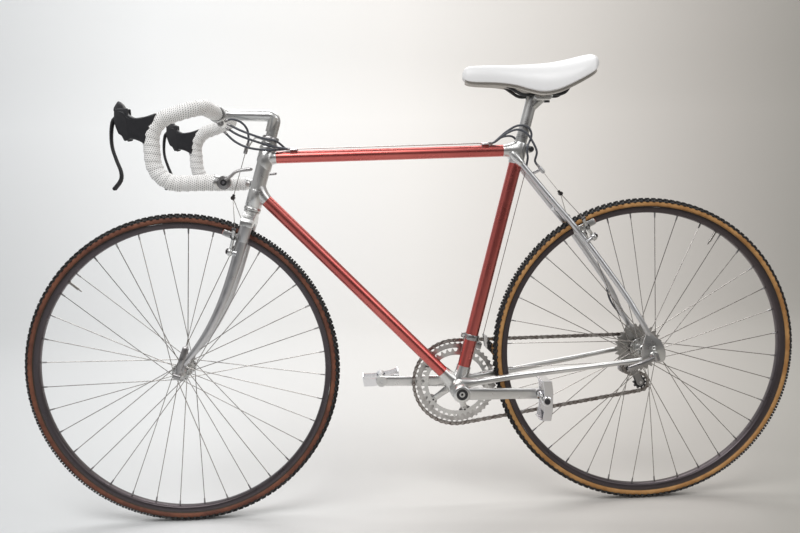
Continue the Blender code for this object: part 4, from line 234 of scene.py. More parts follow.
# %% Rubber, plastic and covers
TREAD = finish("tread rubber", (0.022, 0.022, 0.024), 0.78, bump=(1500, 2, 0.3, 0.4),
               tint=(60, (0.014, 0.014, 0.015), (0.04, 0.038, 0.036)))
TAN_WALL, BROWN_WALL = (
    finish(name, light, 0.7, tint=(35, dark, light), bump=(1400, 1, 0.25, 0.3)) for name, dark, light in
    (("tan sidewall", (0.36, 0.17, 0.05), (0.52, 0.28, 0.1)),
     ("brown sidewall", (0.11, 0.035, 0.02), (0.2, 0.07, 0.035))))
BEAD = finish("bead rubber", (0.05, 0.035, 0.025), 0.7, rough=(200, 0.6, 0.8))
RUBBER = finish("hood rubber", (0.018, 0.018, 0.021), 0.4, rough=(150, 0.32, 0.46),
                bump=(1800, 2, 0.2, 0.3), Specular_IOR_Level=0.5)
BLACK = finish("satin black", (0.02, 0.02, 0.022), 0.38, rough=(100, 0.3, 0.46))
HOUSING = finish("cable housing", (0.075, 0.08, 0.095), 0.38, rough=(200, 0.3, 0.5))
PAD_ORANGE = finish("orange brake pad", (0.55, 0.09, 0.035), 0.6, rough=(120, 0.5, 0.7))
COVER = finish("white saddle cover", (0.8, 0.8, 0.8), 0.38, rough=(60, 0.32, 0.46),
               bump=(1100, 3, 0.1, 0.3), Coat_Weight=0.15, Coat_Roughness=0.3)
UNDERSIDE = finish("saddle underside", (0.46, 0.43, 0.39), 0.6, rough=(80, 0.5, 0.7))
print("finishes", len(bpy.data.materials))

# %% [markdown]
# ## Making meshes
# Most bicycle parts are one of three forms. A turned part is a profile spun round an axis. A
# swept part is a ring carried along a path. A plate is an outline given thickness, with its
# edges bevelled. The helpers all draw in one shared bmesh, so several forms can make one piece.

# %% Turn, sweep and plate
work = bmesh.new()
VERT, EDGE, FACE = bmesh.types.BMVert, bmesh.types.BMEdge, bmesh.types.BMFace


def only(items, kind):
    return [item for item in items if isinstance(item, kind)]


def paint(faces, material):
    for face in faces:
        face.material_index = material
    return faces


def mirrored(half, *tip):
    """Close an outline of pairs with the same points at the other side."""
    return [*half, *tip, *((a, -b) for a, b in reversed(half))]


def lifted(pairs, by):
    return [(a, b + by) for a, b in pairs]


def arc(radius, degrees):
    return [(radius * cos(radians(a)), radius * sin(radians(a))) for a in degrees]


def lay(centre, a, b, c):
    """A matrix whose columns are three scaled directions, moved to a centre, in metres."""
    return Matrix.Translation(centre * MM) @ (Matrix((a, b, c)) * MM).transposed().to_4x4()


def placed(axis, centre):
    """The matrix that stands +Z along an axis and moves the origin to a centre, in metres."""
    return Matrix.Translation(centre * MM) @ axis.to_track_quat("Z", "Y").to_matrix().to_4x4()


def turned(profile, centre, axis, steps=40, hollow=True, material=0):
    """Spin (radius, height) pairs round an axis; a hollow profile closes on itself."""
    old = set(work.faces)
    verts = [work.verts.new(vec(radius, 0, height) * MM) for radius, height in profile]
    pairs = list(zip(verts, verts[1:])) + ([(verts[-1], verts[0])] if hollow else [])
    edges = [work.edges.new(pair) for pair in pairs]
    bmesh.ops.spin(work, geom=verts + edges, cent=(0, 0, 0), axis=Z, angle=2 * pi, steps=steps,
                   use_merge=True)
    skin = [face for face in work.faces if face not in old]
    for end in () if hollow else (verts[0], verts[-1]):
        rim = {edge for face in skin for edge in face.edges if edge.is_boundary
               and all(abs(vert.co.z - end.co.z) < 1e-7 for vert in edge.verts)}
        skin += bmesh.ops.contextual_create(work, geom=list(rim))["faces"]
    points = list({vert for face in skin for vert in face.verts})
    bmesh.ops.transform(work, matrix=placed(axis, centre), verts=points)
    return paint(skin, material)


def sweep(stations, sides=20, outline=None, capped=True, material=0):
    """Extrude a ring from station to station; an outline replaces the circle."""
    if outline:
        verts = [work.verts.new(stations[0] @ vec(a, b, 0)) for a, b in outline]
        edges = [work.edges.new(pair) for pair in zip(verts, verts[1:] + verts[:1])]
    else:
        verts = bmesh.ops.create_circle(work, segments=sides, radius=1.0, matrix=stations[0])["verts"]
        edges = list({edge for vert in verts for edge in vert.link_edges})
    faces = bmesh.ops.contextual_create(work, geom=edges)["faces"] if capped else []
    for before, after in zip(stations, stations[1:]):
        made = bmesh.ops.extrude_edge_only(work, edges=edges)["geom"]
        tips = set(only(made, VERT))
        faces += only(made, FACE)
        edges = [edge for edge in only(made, EDGE) if set(edge.verts) <= tips]
        bmesh.ops.transform(work, matrix=after @ before.inverted(), verts=list(tips))
    if capped:
        faces += bmesh.ops.contextual_create(work, geom=edges)["faces"]
    return paint(faces, material)


def bevelled(edges, size, segments):
    return bmesh.ops.bevel(work, geom=edges, offset=size * MM, offset_type="OFFSET", segments=segments,
                           profile=0.5, affect="EDGES", clamp_overlap=True, material=-1)["faces"]


def plate(outline, origin, u, v, thickness, bevel=0.0, segments=2, material=0):
    """A face drawn in the u, v plane, centred on it, thickened and bevelled."""
    through = u.cross(v) * thickness
    verts = [work.verts.new((origin - through / 2 + u * a + v * b) * MM) for a, b in outline]
    tips = only(bmesh.ops.extrude_face_region(work, geom=[work.faces.new(verts)])["geom"], VERT)
    bmesh.ops.translate(work, vec=through * MM, verts=tips)
    faces = {face for vert in verts + tips for face in vert.link_faces}
    if bevel:
        made = bevelled(list({edge for face in faces for edge in face.edges}), bevel, segments)
        faces = {face for face in faces if face.is_valid} | set(made)
    paint(faces, material)


def rod(start, end, radius, sides=20, tip=None, material=0):
    """A cylinder, or a cone where the tip's radius differs."""
    along = end - start
    made = bmesh.ops.create_cone(
        work, cap_ends=True, segments=sides, radius1=radius * MM, radius2=(tip or radius) * MM,
        depth=along.length * MM, matrix=placed(along.normalized(), (start + end) / 2))
    paint({face for vert in made["verts"] for face in vert.link_faces}, material)


def peg(foot, axis, low, high, *shape, **more):
    """A rod along an axis, from one height to another above a foot."""
    rod(foot + axis * low, foot + axis * high, *shape, **more)


# %% [markdown]
# A path needs directions as well as points. We carry one pair of cross directions along it and
# only tilt them as the path bends, so a tube never twists. The last helper turns the finished
# work into an object: it shades it, gives it finishes, hides the imported node it stands for
# and hangs the new piece on that node's body, which comes from the record.

# %% Paths and finished pieces
def station(centre, u, v, wide, high):
    """A matrix that places a unit ring at a centre, wide along u and high along v."""
    return lay(centre, u * wide, v * high, u.cross(v))


def sizes(size, count):
    """One number for all, one for each, or a function of the share along the path."""
    if callable(size):
        return [size(k / count) for k in range(count)]
    return size if isinstance(size, list) else [size] * count


def carried(points, up, wide, high=None):
    """Stations along a path, with sizes across it."""
    count = len(points)
    wides, highs = sizes(wide, count), sizes(high or wide, count)
    made = []
    for i, point in enumerate(points):
        ahead = (points[min(i + 1, count - 1)] - points[max(i - 1, 0)]).normalized()
        up = (up - ahead * up.dot(ahead)).normalized()
        made.append(station(point, up, ahead.cross(up), wides[i], highs[i]))
    return made


def smooth_path(points, step):
    """A Catmull-Rom curve through chosen points, sampled about every step."""
    ends = [points[0] * 2 - points[1], *points, points[-1] * 2 - points[-2]]
    path = []
    for a, b, c, d in zip(ends, ends[1:], ends[2:], ends[3:]):
        spans = max(2, round((c - b).length / step))
        for k in range(spans):
            t = k / spans
            path.append((b * 2 + (c - a) * t + (a * 2 - b * 5 + c * 4 - d) * t * t
                         + (b * 3 - a - c * 3 + d) * t ** 3) / 2)
    return path + [points[-1]]


def rounded_path(corners, segments):
    """Straight runs through (corner, radius) pairs, with an arc at each inner corner."""
    path = [corners[0][0]]
    for (a, _), (b, radius), (c, _) in zip(corners, corners[1:], corners[2:]):
        back, on = (a - b).normalized(), (c - b).normalized()
        half = back.angle(on) / 2
        start = b + back * (radius / tan(half))
        centre = b + (back + on).normalized() * (radius / sin(half))
        spin = (start - centre).cross(b + on * (radius / tan(half)) - centre).normalized()
        for k in range(segments + 1):
            swing = Matrix.Rotation((pi - 2 * half) * k / segments, 3, spin)
            path.append(centre + swing @ (start - centre))
    return path + [corners[-1][0]]


def shaped(name, *looks):
    """Empty the shared work into a new object in the scene."""
    mesh = bpy.data.meshes.new(name)
    work.to_mesh(mesh)
    work.clear()
    for look in looks:
        mesh.materials.append(look)
    made = bpy.data.objects.new(name, mesh)
    bpy.context.scene.collection.objects.link(made)
    return made


def piece(name, looks, node=None, body=None, sharp=38, weld=True, ride=True):
    """Weld and smooth the work, and hand it to the frame."""
    if weld:
        bmesh.ops.remove_doubles(work, verts=work.verts, dist=1e-6)
    bmesh.ops.recalc_face_normals(work, faces=work.faces)
    made = shaped(name, *(looks if isinstance(looks, list) else [looks]))
    made.data.shade_smooth()
    made.data.set_sharp_from_angle(angle=radians(sharp))
    if ride:
        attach(made, body or BODY_OF[node])
    if node:
        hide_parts(node)
    print(name, len(made.data.polygons), "faces")
    return made


# %% [markdown]
# ## Tyres
# A tyre is a round casing with rubber knobs moulded on. We spin the casing's section, then
# build one knob as a tapered block and set copies of it in staggered rows, as the mould does.
# The casing below the tread has its own sidewall finish, with a narrow bead line at the rim.

# %% Make the tyres
TYRE_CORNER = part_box("front_tyre")[1] / MM
TYRE_RADIUS, TYRE_HALF_WIDTH = TYRE_CORNER.z / 2, TYRE_CORNER.y
SEAT_RADIUS, CASING_CENTRE, WALL_EDGE = 320, 326.5, 331.5
KNOB_DEPTH, KNOBS_ROUND = 4.0, 150
KNOB_ROWS = ((3.6, 10, 2.2, 0.0, 0.5), (9.4, 33, 2.1, 0.5, 0.5), (13.6, 58, 1.8, 0.0, 0.0))


def casing_profile():
    """Bead, sidewall, tread shoulder and crown, from left to right."""
    rise, half = TYRE_RADIUS - KNOB_DEPTH - CASING_CENTRE, TYRE_HALF_WIDTH - 0.4
    left = [(SEAT_RADIUS, -10), (SEAT_RADIUS + 1.6, -11.6), (SEAT_RADIUS + 2, -12.4)]
    for k in range(1, 9):
        angle = radians(-28 + 118 * k / 8)
        left.append((CASING_CENTRE + rise * sin(angle), -half * cos(angle)))
    return mirrored(left[:-1], left[-1])


def tyre(place, centre, wall):
    for face in turned(casing_profile(), centre, Y, 144):
        middle = face.calc_center_median() / MM - centre
        out = hypot(middle.x, middle.z)
        face.material_index = 2 if out < SEAT_RADIUS + 1.9 else 1 if out < WALL_EDGE else 0
    pitch = 2 * pi / KNOBS_ROUND
    reach = TYRE_RADIUS - KNOB_DEPTH - CASING_CENTRE
    for offset, lean_deg, half_wide, *phases in KNOB_ROWS:
        for side, phase in zip((-1.0, 1.0), phases):
            angle, lean = pitch * phase, radians(lean_deg)
            up, tangent = radial(angle), radial(angle + pi / 2)
            out = up * cos(lean) + Y * side * sin(lean)
            across = Y * side * cos(lean) - up * sin(lean)
            height = CASING_CENTRE + reach * cos(asin(offset / TYRE_HALF_WIDTH))
            foot = centre + up * height + Y * side * offset + out * KNOB_DEPTH * 0.22
            block = bmesh.ops.create_cone(
                work, cap_ends=True, segments=4, radius1=1.2, radius2=0.95, depth=1.5,
                matrix=lay(foot, tangent * TYRE_RADIUS * pitch * 0.25, across * half_wide,
                           out * KNOB_DEPTH) @ Matrix.Rotation(pi / 4, 4, "Z"))["verts"]
            around = list({item for vert in block for item in (*vert.link_faces, *vert.link_edges)})
            bmesh.ops.spin(work, geom=block + around, cent=centre * MM, axis=Y, steps=KNOBS_ROUND - 1,
                           angle=2 * pi * (1 - 1 / KNOBS_ROUND), use_duplicate=True)
    piece(f"{place}_tyre_knobbed", [TREAD, wall, BEAD], f"{place}_tyre", sharp=30, weld=False)


tyre("front", FRONT, BROWN_WALL)
tyre("rear", REAR, TAN_WALL)

# %% [markdown]
# ## Rims
# The rim is a hollow box section spun round the axle: brake tracks outside, a sloping inner
# bed that the spokes pull on, and a small rounded well edge under the tyre. A valve stands
# through each rim.

# %% Make the rims and valves
RIM_OUTER, RIM_INNER, RIM_HALF = SEAT_RADIUS - 0.3, 307.4, 10.5
RIM_SECTION = mirrored([
    (RIM_OUTER, RIM_HALF), (RIM_OUTER - 8.8, RIM_HALF), (RIM_OUTER - 10.2, RIM_HALF * 0.9),
    (RIM_INNER + 0.6, RIM_HALF * 0.6), (RIM_INNER, RIM_HALF * 0.4)])


def rim(place, centre, valve_deg):
    turned(RIM_SECTION, centre, Y, 160)
    down = -radial(radians(valve_deg))
    top = centre - down * (RIM_INNER + 1)
    for low, high, *shape in ((0, 3, 4.2, 10), (0, 26, 2.8, 12), (26, 34, 1.6, 8, 1.1)):
        peg(top, down, low, high, *shape, material=1)
    piece(f"{place}_rim_hoop", [DARK_ALLOY, SPOKE_STEEL], f"{place}_rim")


rim("front", FRONT, 139.5)
rim("rear", REAR, 57.5)

# %% [markdown]
# ## Hubs and spokes
# Thirty-six spokes leave two flanges at a slant, cross three others and end in nipples at the
# rim. Neighbours on one flange lean opposite ways and sit on opposite faces of it, as they do
# on a laced wheel. Each spoke has its bent head at the flange, and the rim end is its nipple.

# %% Make the hubs and spokes
SPOKES, SPOKE_RADIUS, CROSS_DEG, FLANGE_HALF = 36, 0.9, 60, 1.6


def spokes(place, centre, flanges, flange_radius):
    for k in range(SPOKES):
        flange = flanges[k % 2]
        outward = 1.0 if flange > 0 else -1.0
        outside = 1.0 if (k // 2) % 2 else -1.0
        rim_angle = 2 * pi * (k + 0.5) / SPOKES
        hole_way = radial(rim_angle + outside * radians(CROSS_DEG))
        face = Y * outside * outward
        hole = centre + hole_way * (flange_radius - 3.5) + Y * flange + face * (FLANGE_HALF + SPOKE_RADIUS)
        end = centre + radial(rim_angle) * (RIM_INNER + 1) + Y * 2 * outward
        rod(hole, end, SPOKE_RADIUS, 6)
        peg(hole, face, -4.6, 0.2, SPOKE_RADIUS, 6)
        peg(hole, face, -4.6, -4, 1.9, 8)
        peg(end, (end - hole).normalized(), -12, 0, 1.6, 8, 2, 1)
    piece(f"{place}_spokes", [SPOKE_STEEL, GREY_ALLOY], body=f"{place}_wheel",
          weld=False)


def hub(place, centre, flanges, flange_radius, locknut, barrel):
    left, right = flanges
    disc = mirrored([(flange_radius - 0.8, -FLANGE_HALF), (flange_radius, -FLANGE_HALF / 2)])
    turned([(5, -locknut), (8.6, -locknut), (9, 1.2 - locknut), (9, left - 8), (12, left - 5),
            (13.5, left - 2), *lifted(disc, left), (12.5, left + 2.2), (barrel + 1, left + 7.5),
            (barrel, left + 13), (barrel, right - 13), (barrel + 1, right - 7.5), (12.5, right - 2.2),
            *lifted(disc, right), (13.5, right + 2), (9, right + 7), (9, locknut - 1.2), (8.6, locknut),
            (5, locknut)], centre, Y, 48)
    piece(f"{place}_hub_shell", POLISHED, f"{place}_hub")


for place, centre, flanges, flange_radius, locknut, barrel in (
        ("front", FRONT, (-34.5, 34.5), 19.5, 50, 7.8), ("rear", REAR, (-34.5, 18), 22.5, 63, 11)):
    hub(place, centre, flanges, flange_radius, locknut, barrel)
    spokes(place, centre, flanges, flange_radius)

# %% [markdown]
# ## Tubes and lugs
# The main tubes are bonded into cast lugs. A lug is a short barrel round the joint with one
# flared sleeve for each tube. We write the flare once, as a ring that shrinks towards the
# tube, and use it at every joint. The red of a tube shows only between its two sleeves.

# %% Frame points and the flare
HEAD_LOW, HEAD_HIGH, LUG_LIP = 366.3, 487.8, 30.3
TOP_FRONT, DOWN_FRONT = steer(HEAD_HIGH - 14.3), steer(HEAD_LOW + 33)
SEAT_CROSSING = (TOP_FRONT.z - BOTTOM.z) / SEAT_UP.z
TOP_REAR = seat(SEAT_CROSSING)
DOWN_ALONG = (DOWN_FRONT - BOTTOM).normalized()
LUG_LOW, LUG_HIGH = SEAT_CROSSING - 30.5, SEAT_CROSSING + 16.2
TOP_SLEEVE, DOWN_SLEEVE, SEAT_SLEEVE, SHELL_SLEEVE = 23.1, 28.6, 34.8, 50
FLARE = ((0.0, 1.0), (0.25, 0.58), (0.5, 0.27), (0.7, 0.1), (0.85, 0.02), (0.96, 0.0), (1.0, -0.06))


def flare(start, along, up, reach, radius, swell):
    side = along.cross(up)
    sweep([station(start + along * reach * share, up, side, radius + swell * grow,
                   radius + swell * grow * 0.3) for share, grow in FLARE], 36)


# %% Make the head tube
def head_tube():
    lug, tube, lip = 17.6, 15.8, HEAD_HIGH - LUG_LIP
    turned(lifted([(15, -10), (17, -10), (18.3, -9), (18.5, -6), (18, -3), (16.8, -2.2), (16.8, -0.8),
                   (lug, 0), (lug, 34.5), (lug - 0.6, 36), (tube, 36.3)], HEAD_LOW)
           + lifted([(tube, 0), (lug - 0.6, 0.3), (lug, 1.8)], lip)
           + lifted([(lug, 0), (16.8, 0.8), (16.8, 2), (18.2, 3), (18.5, 6), (17.8, 9), (16.5, 10),
                     (15, 10)], HEAD_HIGH), STEER_FOOT, STEER_UP, 64)
    for vert in work.verts:
        place = vert.co / MM - STEER_FOOT
        if lip - 0.5 < place.dot(STEER_UP) < lip + 2.5:
            vert.co += STEER_UP * (8.5 * place.dot(STEER_FORE) / lug - 3.5) * MM
    flare(TOP_FRONT, X, Z, TOP_SLEEVE, 13.7, 10.5)
    flare(DOWN_FRONT, -DOWN_ALONG, DOWN_ALONG.cross(Y), DOWN_SLEEVE, 14.1, 11.5)
    piece("head_tube_lugged", POLISHED, "head_tube", sharp=50)


# %% Make the three red tubes and the cable stops
STOP_STARTS = (TOP_FRONT.x + 53.2, TOP_REAR.x - 82.2)
LANES, LANE_HEIGHT, STOP_REACH = (-7, 0, 7), TOP_FRONT.z + 17, 16


def red_tubes():
    rod(TOP_FRONT + X * (TOP_SLEEVE - 1), TOP_REAR - X * (SEAT_SLEEVE - 1), 12.8, 48)
    arch = [(11.3 * cos(radians(a)), 14.5 + 5.2 * sin(radians(a))) for a in range(0, 181, 15)]
    for start, outside in zip(STOP_STARTS, (-1, 1)):
        foot = vec(start + STOP_REACH / 2, 0, TOP_FRONT.z)
        plate([(-11.3, 5), (11.3, 5)] + arch, foot, Y, Z, STOP_REACH, 0.9, material=1)
        for lane in LANES:
            mouth = vec(foot.x + outside * STOP_REACH / 2, lane, LANE_HEIGHT)
            peg(mouth, X * outside, -2, 0.6, 3.1, 16, material=1)
    piece("top_tube_red", [RED, SATIN], "top_tube")
    for name, start, end, radius in (
            ("down_tube", BOTTOM + DOWN_ALONG * (SHELL_SLEEVE - 1),
             DOWN_FRONT - DOWN_ALONG * (DOWN_SLEEVE - 1), 13.2),
            ("seat_tube", seat(SHELL_SLEEVE - 1), seat(LUG_LOW + 1), 14.3)):
        rod(start, end, radius, 48)
        piece(f"{name}_red", RED, name)


# %% Make the seat lug and the bracket shell
STAY_TOP, STAY_BEND, STAY_LOWER = (0.0, 0.0, 19.7), (0.4341, 12.3, 34), (0.7645, 11.6, 50)


def stay_foot(side):
    return REAR + vec(-11.5, 66.05 * side, 50)


def stay_point(share, bow, spread, side):
    top = seat(LUG_LOW + 0.9, 10.6)
    down = stay_foot(0) - top
    back = vec(-down.z, 0, down.x).normalized()
    return top + down * share + back * bow + Y * side * spread


def seat_lug():
    turned(lifted([(13.1, 0), (15.3, 0), (16.4, 1.8)], LUG_LOW)
           + lifted([(16.4, -2), (15.6, 0), (13.1, 0)], LUG_HIGH), BOTTOM, SEAT_UP, 48)
    flare(TOP_REAR, -X, Z, SEAT_SLEEVE, 13.7, 10)
    ear = [(8, -15.5), (25.5, -16.5), (29.8, -12), (29.8, -6), (26.5, -2), (8, -0.8)]
    bolt = seat(LUG_HIGH - 8.5, 23.9)
    for _, side in SIDES:
        plate(ear, seat(LUG_HIGH) + Y * side * 5.2, SEAT_BACK, SEAT_UP, 8.5, 1.8, 3)
        end = stay_point(*STAY_TOP, side)
        aim = (stay_point(*STAY_BEND, side) - end).normalized()
        spots = [(-34, 7), (-30, 8.8), (-10, 8.8), (-1, 8.4), (0, 7.8)]
        sweep(carried([end + aim * at for at, _ in spots], Z, [r for _, r in spots]), 28)
        peg(bolt, Y * side, 8.6, 10, 6.4, 24)
    turned([(2, -15), (4.6, -15), (5.2, -13.8), (5.2, -9.4), (3, -9.4), (3, 9.4), (5, 9.4), (5, 12),
            (2, 12.8)], bolt, Y, 24, hollow=False, material=1)
    piece("seat_lug_cast", [POLISHED, BLACK], "seat_lug", sharp=50)


def chainstay_points(side):
    start, end = BOTTOM + vec(40, 0, 16.5), REAR + vec(-26, 0, -8.5)
    shares = ((0.0, 26.5), (0.12, 28.5), (0.3, 33), (0.62, 48), (0.85, 60), (1.0, 66.05))
    return [start.lerp(end, share) + Y * side * spread for share, spread in shares]


def bracket_shell():
    turned(mirrored([(12, -35.2), (19, -35.2), (19.6, -34), (20.7, -34), (21.5, -32.8)]), BOTTOM, Y, 56)
    flare(BOTTOM, DOWN_ALONG, DOWN_ALONG.cross(Y), SHELL_SLEEVE, 14.8, 9)
    flare(BOTTOM, SEAT_UP, SEAT_BACK, SHELL_SLEEVE, 15.8, 8)
    for _, side in SIDES:
        points = chainstay_points(side)
        aim = (points[1] - points[0]).normalized()
        flare(points[0] - aim * 36, aim, Z, 35.8, 9, 7)
    piece("bracket_shell_cast", POLISHED, "bb_shell", sharp=50)


head_tube()
red_tubes()
seat_lug()
bracket_shell()

# %% [markdown]
# ## Stays and dropouts
# The seatstays run from two sockets behind the lug to plates that hold the rear axle, and the
# chainstays join them from the bracket. Both taper. The plates are cut from sheet, so they are
# outlines with a thin bevel. The small bosses that carry the brakes stand on the stays.

# %% Make the stays
DROPOUT_FACE, DROPOUT_WIDE = 63.3, 5.5
HANGER, CARRIER_REAR = TOP_REAR + vec(48.8, 0, -43.3), REAR + vec(-182.4, 0, 355.5)
AXLE_SLOT = arc(4.9, range(0, 181, 20))


def mount_of(name):
    """A brake arm's pivot, the way up its stay or blade, and the way out from it."""
    at, out = joint_at(f"{name}_close")
    out = out if out.z > 0 else -out
    return at, upright(out), out


def brake_boss(name, low, high, tip):
    """The boss on a stay or blade, and the stud that a brake arm turns on."""
    at, _, out = mount_of(name)
    peg(at, out, low, high[0], high[1], 24, tip)
    peg(at, out, 0, 27, 4, 20)


def stay_pair(label, side):
    start, bend, lower = (stay_point(*spot, side) for spot in (STAY_TOP, STAY_BEND, STAY_LOWER))
    foot = stay_foot(side)
    ankle = lower.lerp(foot, 0.6)
    ankle.y = foot.y
    path = smooth_path([start, start.lerp(bend, 0.5), bend, lower, ankle, foot], 14)
    tip = (foot - ankle).normalized()
    path += [foot + tip * 4, foot + tip * 6.5]
    count = len(path)
    radii = [6.6 - 1.1 * max(0.0, (k / count - 0.5) * 2) for k in range(count - 2)] + [4.6, 2.2]
    sweep(carried(path, X, radii), 24)
    brake_boss(f"rear_arm_{label}", -1, (6, 7.5), 5.8)
    if side < 0:
        at = start.lerp(bend, 0.635)
        rod(at, vec(at.x, -at.y, at.z), 5.2, 24)
        peg(vec(at.x, 0, at.z), Y, -8.5, 8.5, 6.6, 24)
    else:
        hold = start.lerp(bend, 0.14)
        arm = smooth_path([hold, hold + vec(12, -6, 2), HANGER + Y * 3], 4)
        sweep(carried(arm, Z, 3.4, 2.6), 14)
        turned([(1.2, -6.5), (4, -6.5), (4.4, -5.5), (4.4, 6), (3, 10), (1.2, 10)], HANGER,
               (CARRIER_REAR - HANGER).normalized(), 24)
    piece(f"seatstay_{label}_drawn", SATIN, f"seatstay_{label}")


def chainstay(label, side):
    sweep(carried(smooth_path(chainstay_points(side), 16), Z, lambda t: 8 - 2.5 * min(1.0, t / 0.8),
                  lambda t: 8 - 1.2 * sin(pi * min(1.0, t / 0.6)) - 2.6 * t), 28)
    face, outer = Y * side * (DROPOUT_FACE + DROPOUT_WIDE / 2), DROPOUT_FACE + DROPOUT_WIDE
    plate([(-16.5, 47), (-7, 52), (16, 33), (23.5, 18), (26.2, 6), (26.2, -4), (23.5, -11), (13, -16),
           (4.9, -16), *AXLE_SLOT, (-4.9, -16), (-14, -15), (-29, -12), (-26.5, 0), (-23.5, 25)],
          REAR + face, X, Z, DROPOUT_WIDE, 0.8, material=1)
    turned([(2.6, 0), (4.4, 0), (4.4, 1), (3.4, 1.6), (2.6, 1)], REAR + vec(0, side * outer, 17.5),
           Y * side, 28)
    if side > 0:
        plate([(-6, -36), (11, -36), (20, -12), (7.5, -12), (7, -18), (-7, -22)], REAR + face, X, Z,
              DROPOUT_WIDE - 0.6, 0.6, 1, material=1)
        turned([(8.5, -3), (9.5, -2), (9.5, 12), (8.5, 13)], REAR + vec(2.5, outer, -28), Y, 32, hollow=False)
    piece(f"chainstay_{label}_drawn", [POLISHED, WORN], f"chainstay_{label}")


for label, side in SIDES:
    stay_pair(label, side)
    chainstay(label, side)

# %% [markdown]
# ## Fork and headset
# The blades are oval at the crown and curve forwards to round tips. The rake follows a power of
# the distance from the crown, which leaves the top straight. The headset's locknut carries the
# small bracket where the front brake's housing ends.

# %% Make the fork
CROWN_TOP, CROWN_BOTTOM, BLADE_FORE, BLADE_SIDE, BLADE_TIP = 353, 322.3, 12.4, 9.4, 5.8
BLADE_TOP_SPREAD, BLADE_TIP_SPREAD = 34.5, 53.05


def blade_point(along, side):
    share = max(0.0, 1 - along / CROWN_BOTTOM)
    spread = BLADE_TOP_SPREAD + (BLADE_TIP_SPREAD - BLADE_TOP_SPREAD) * share
    return steer(along, FORK_RAKE * share ** 3.2, spread * side)


def fork_blade(label, side):
    alongs = [CROWN_BOTTOM * (1 - k / 26) for k in range(26)] + [7.0, 4.5]
    shares = [1 - along / CROWN_BOTTOM for along in alongs]
    wides = [BLADE_FORE + (BLADE_TIP - BLADE_FORE) * t ** 1.3 for t in shares]
    highs = [BLADE_SIDE + (BLADE_TIP * 0.8 - BLADE_SIDE) * t for t in shares]
    wides[-1] = highs[-1] = 2.5
    sweep(carried([blade_point(along, side) for along in alongs], STEER_FORE, wides, highs), 32)
    sleeve = [(CROWN_BOTTOM + 4, 0.9), (290.5, 0.9), (289, 0.4), (288.8, -0.6)]
    sweep([station(blade_point(at, side), STEER_FORE, Y, BLADE_FORE + grow, BLADE_SIDE + grow)
           for at, grow in sleeve], 32)
    plate([(12, 6), (16, 26), (6, 26), (-8, 12), (-12.5, 0), (-11, -10), (-4.9, -12), *reversed(AXLE_SLOT),
           (4.9, -12), (10.5, -9)], FRONT + Y * side * BLADE_TIP_SPREAD, X, Z, 5.5, 0.7, material=1)
    brake_boss(f"front_arm_{label}", 3, (12, 7.8), 6)
    piece(f"fork_blade_{label}_drawn", [SATIN, WORN], f"fork_blade_{label}")


def fork_crown():
    arch = [(24.1 * cos(radians(a)), CROWN_BOTTOM + 7.5 * sin(radians(a))) for a in range(0, 181, 20)]
    left = [(-44.9, CROWN_BOTTOM - 0.2), (-44.9, CROWN_BOTTOM + 10), (-42, CROWN_BOTTOM + 17),
            (-31, CROWN_TOP - 5), (-19, CROWN_TOP)]
    plate(left + [(-a, b) for a, b in reversed(left)] + arch, STEER_FOOT, Y, STEER_UP, 26.4, 4, 3)
    turned([(11, CROWN_BOTTOM + 10), (12.7, CROWN_BOTTOM + 10)]
           + lifted([(12.7, -1), (16.6, -0.8), (17.4, 0.6), (17, 2.8), (12.7, 3)], CROWN_TOP)
           + lifted([(12.7, 27), (11.4, 27)], HEAD_HIGH), STEER_FOOT, STEER_UP, 48)
    piece("fork_crown_cast", POLISHED, "fork_crown", sharp=50)


# %% Make the headset's upper race, locknut and cable hanger
HANGER_FORE = 44.5


def headset():
    low, high = HEAD_HIGH + 10.3, HEAD_HIGH + 32.5
    turned(lifted([(13.1, 0), (16.5, 0), (17.6, 4), (17.6, 8), (15.5, 9)], low)
           + lifted([(15.5, -9), (13.1, -9)], high), STEER_FOOT, STEER_UP, 48)
    turned(lifted([(13.1, -8.8), (17.8, -8.8), (17.8, -2.2), (16, 0), (13.1, 0)], high), STEER_FOOT,
           STEER_UP, 8, material=1)
    plate([(13, -10.5), (13, 10.5), (29, 6.5), (33.5, 3), (33.5, -3), (29, -6.5)], steer(low + 11.2),
          STEER_FORE, Y, 2.4, 0.6)
    drop = smooth_path([steer(low + 11.2, 30), steer(low + 5, 35), steer(HEAD_HIGH - 8, HANGER_FORE - 2)], 3)
    sweep(carried(drop, Y, 5, 1.6), 16)
    turned([(1.2, -17.8), (3.4, -17.8), (4.2, -16.5), (4.2, -2), (3.4, 0.2), (1.2, 0.2)],
           steer(HEAD_HIGH, HANGER_FORE), STEER_UP, 20, material=1)
    piece("headset_upper", [POLISHED, GREY_ALLOY], "headset_race")


for label, side in SIDES:
    fork_blade(label, side)
fork_crown()
headset()

# %% [markdown]
# ## Stem and handlebar
# The stem is one forged piece: a quill in the fork's steerer, a soft corner and a level arm to
# a clamp. The bar is a bent tube. We describe it by its corners and their radii, and use the
# same path again for the tape that is wound on it.

# %% Bar path and tape finish
BAR = vec(-406.04, 0, 885.92)
BAR_RADIUS, TAPE_RADIUS, TAPE_FROM, TAPE_STEP, TAPE_SIDES = 11.9, 15, 34, 1.6, 30
TAPE_PITCH, TAPE_RIDGE, HOLE_SPACING, HOLES_ROUND = 15, 1.4, 3.8, 22


def bar_corners(side, start):
    rows = ((0, start, 0, 0), (0, 190, 0, 45), (-94.5, 200.5, -29.5, 48), (-90.5, 205, -145.5, 48),
            (22.5, 205, -145.5, 0))
    return [(BAR + vec(x, side * y, z), radius) for x, y, z, radius in rows]


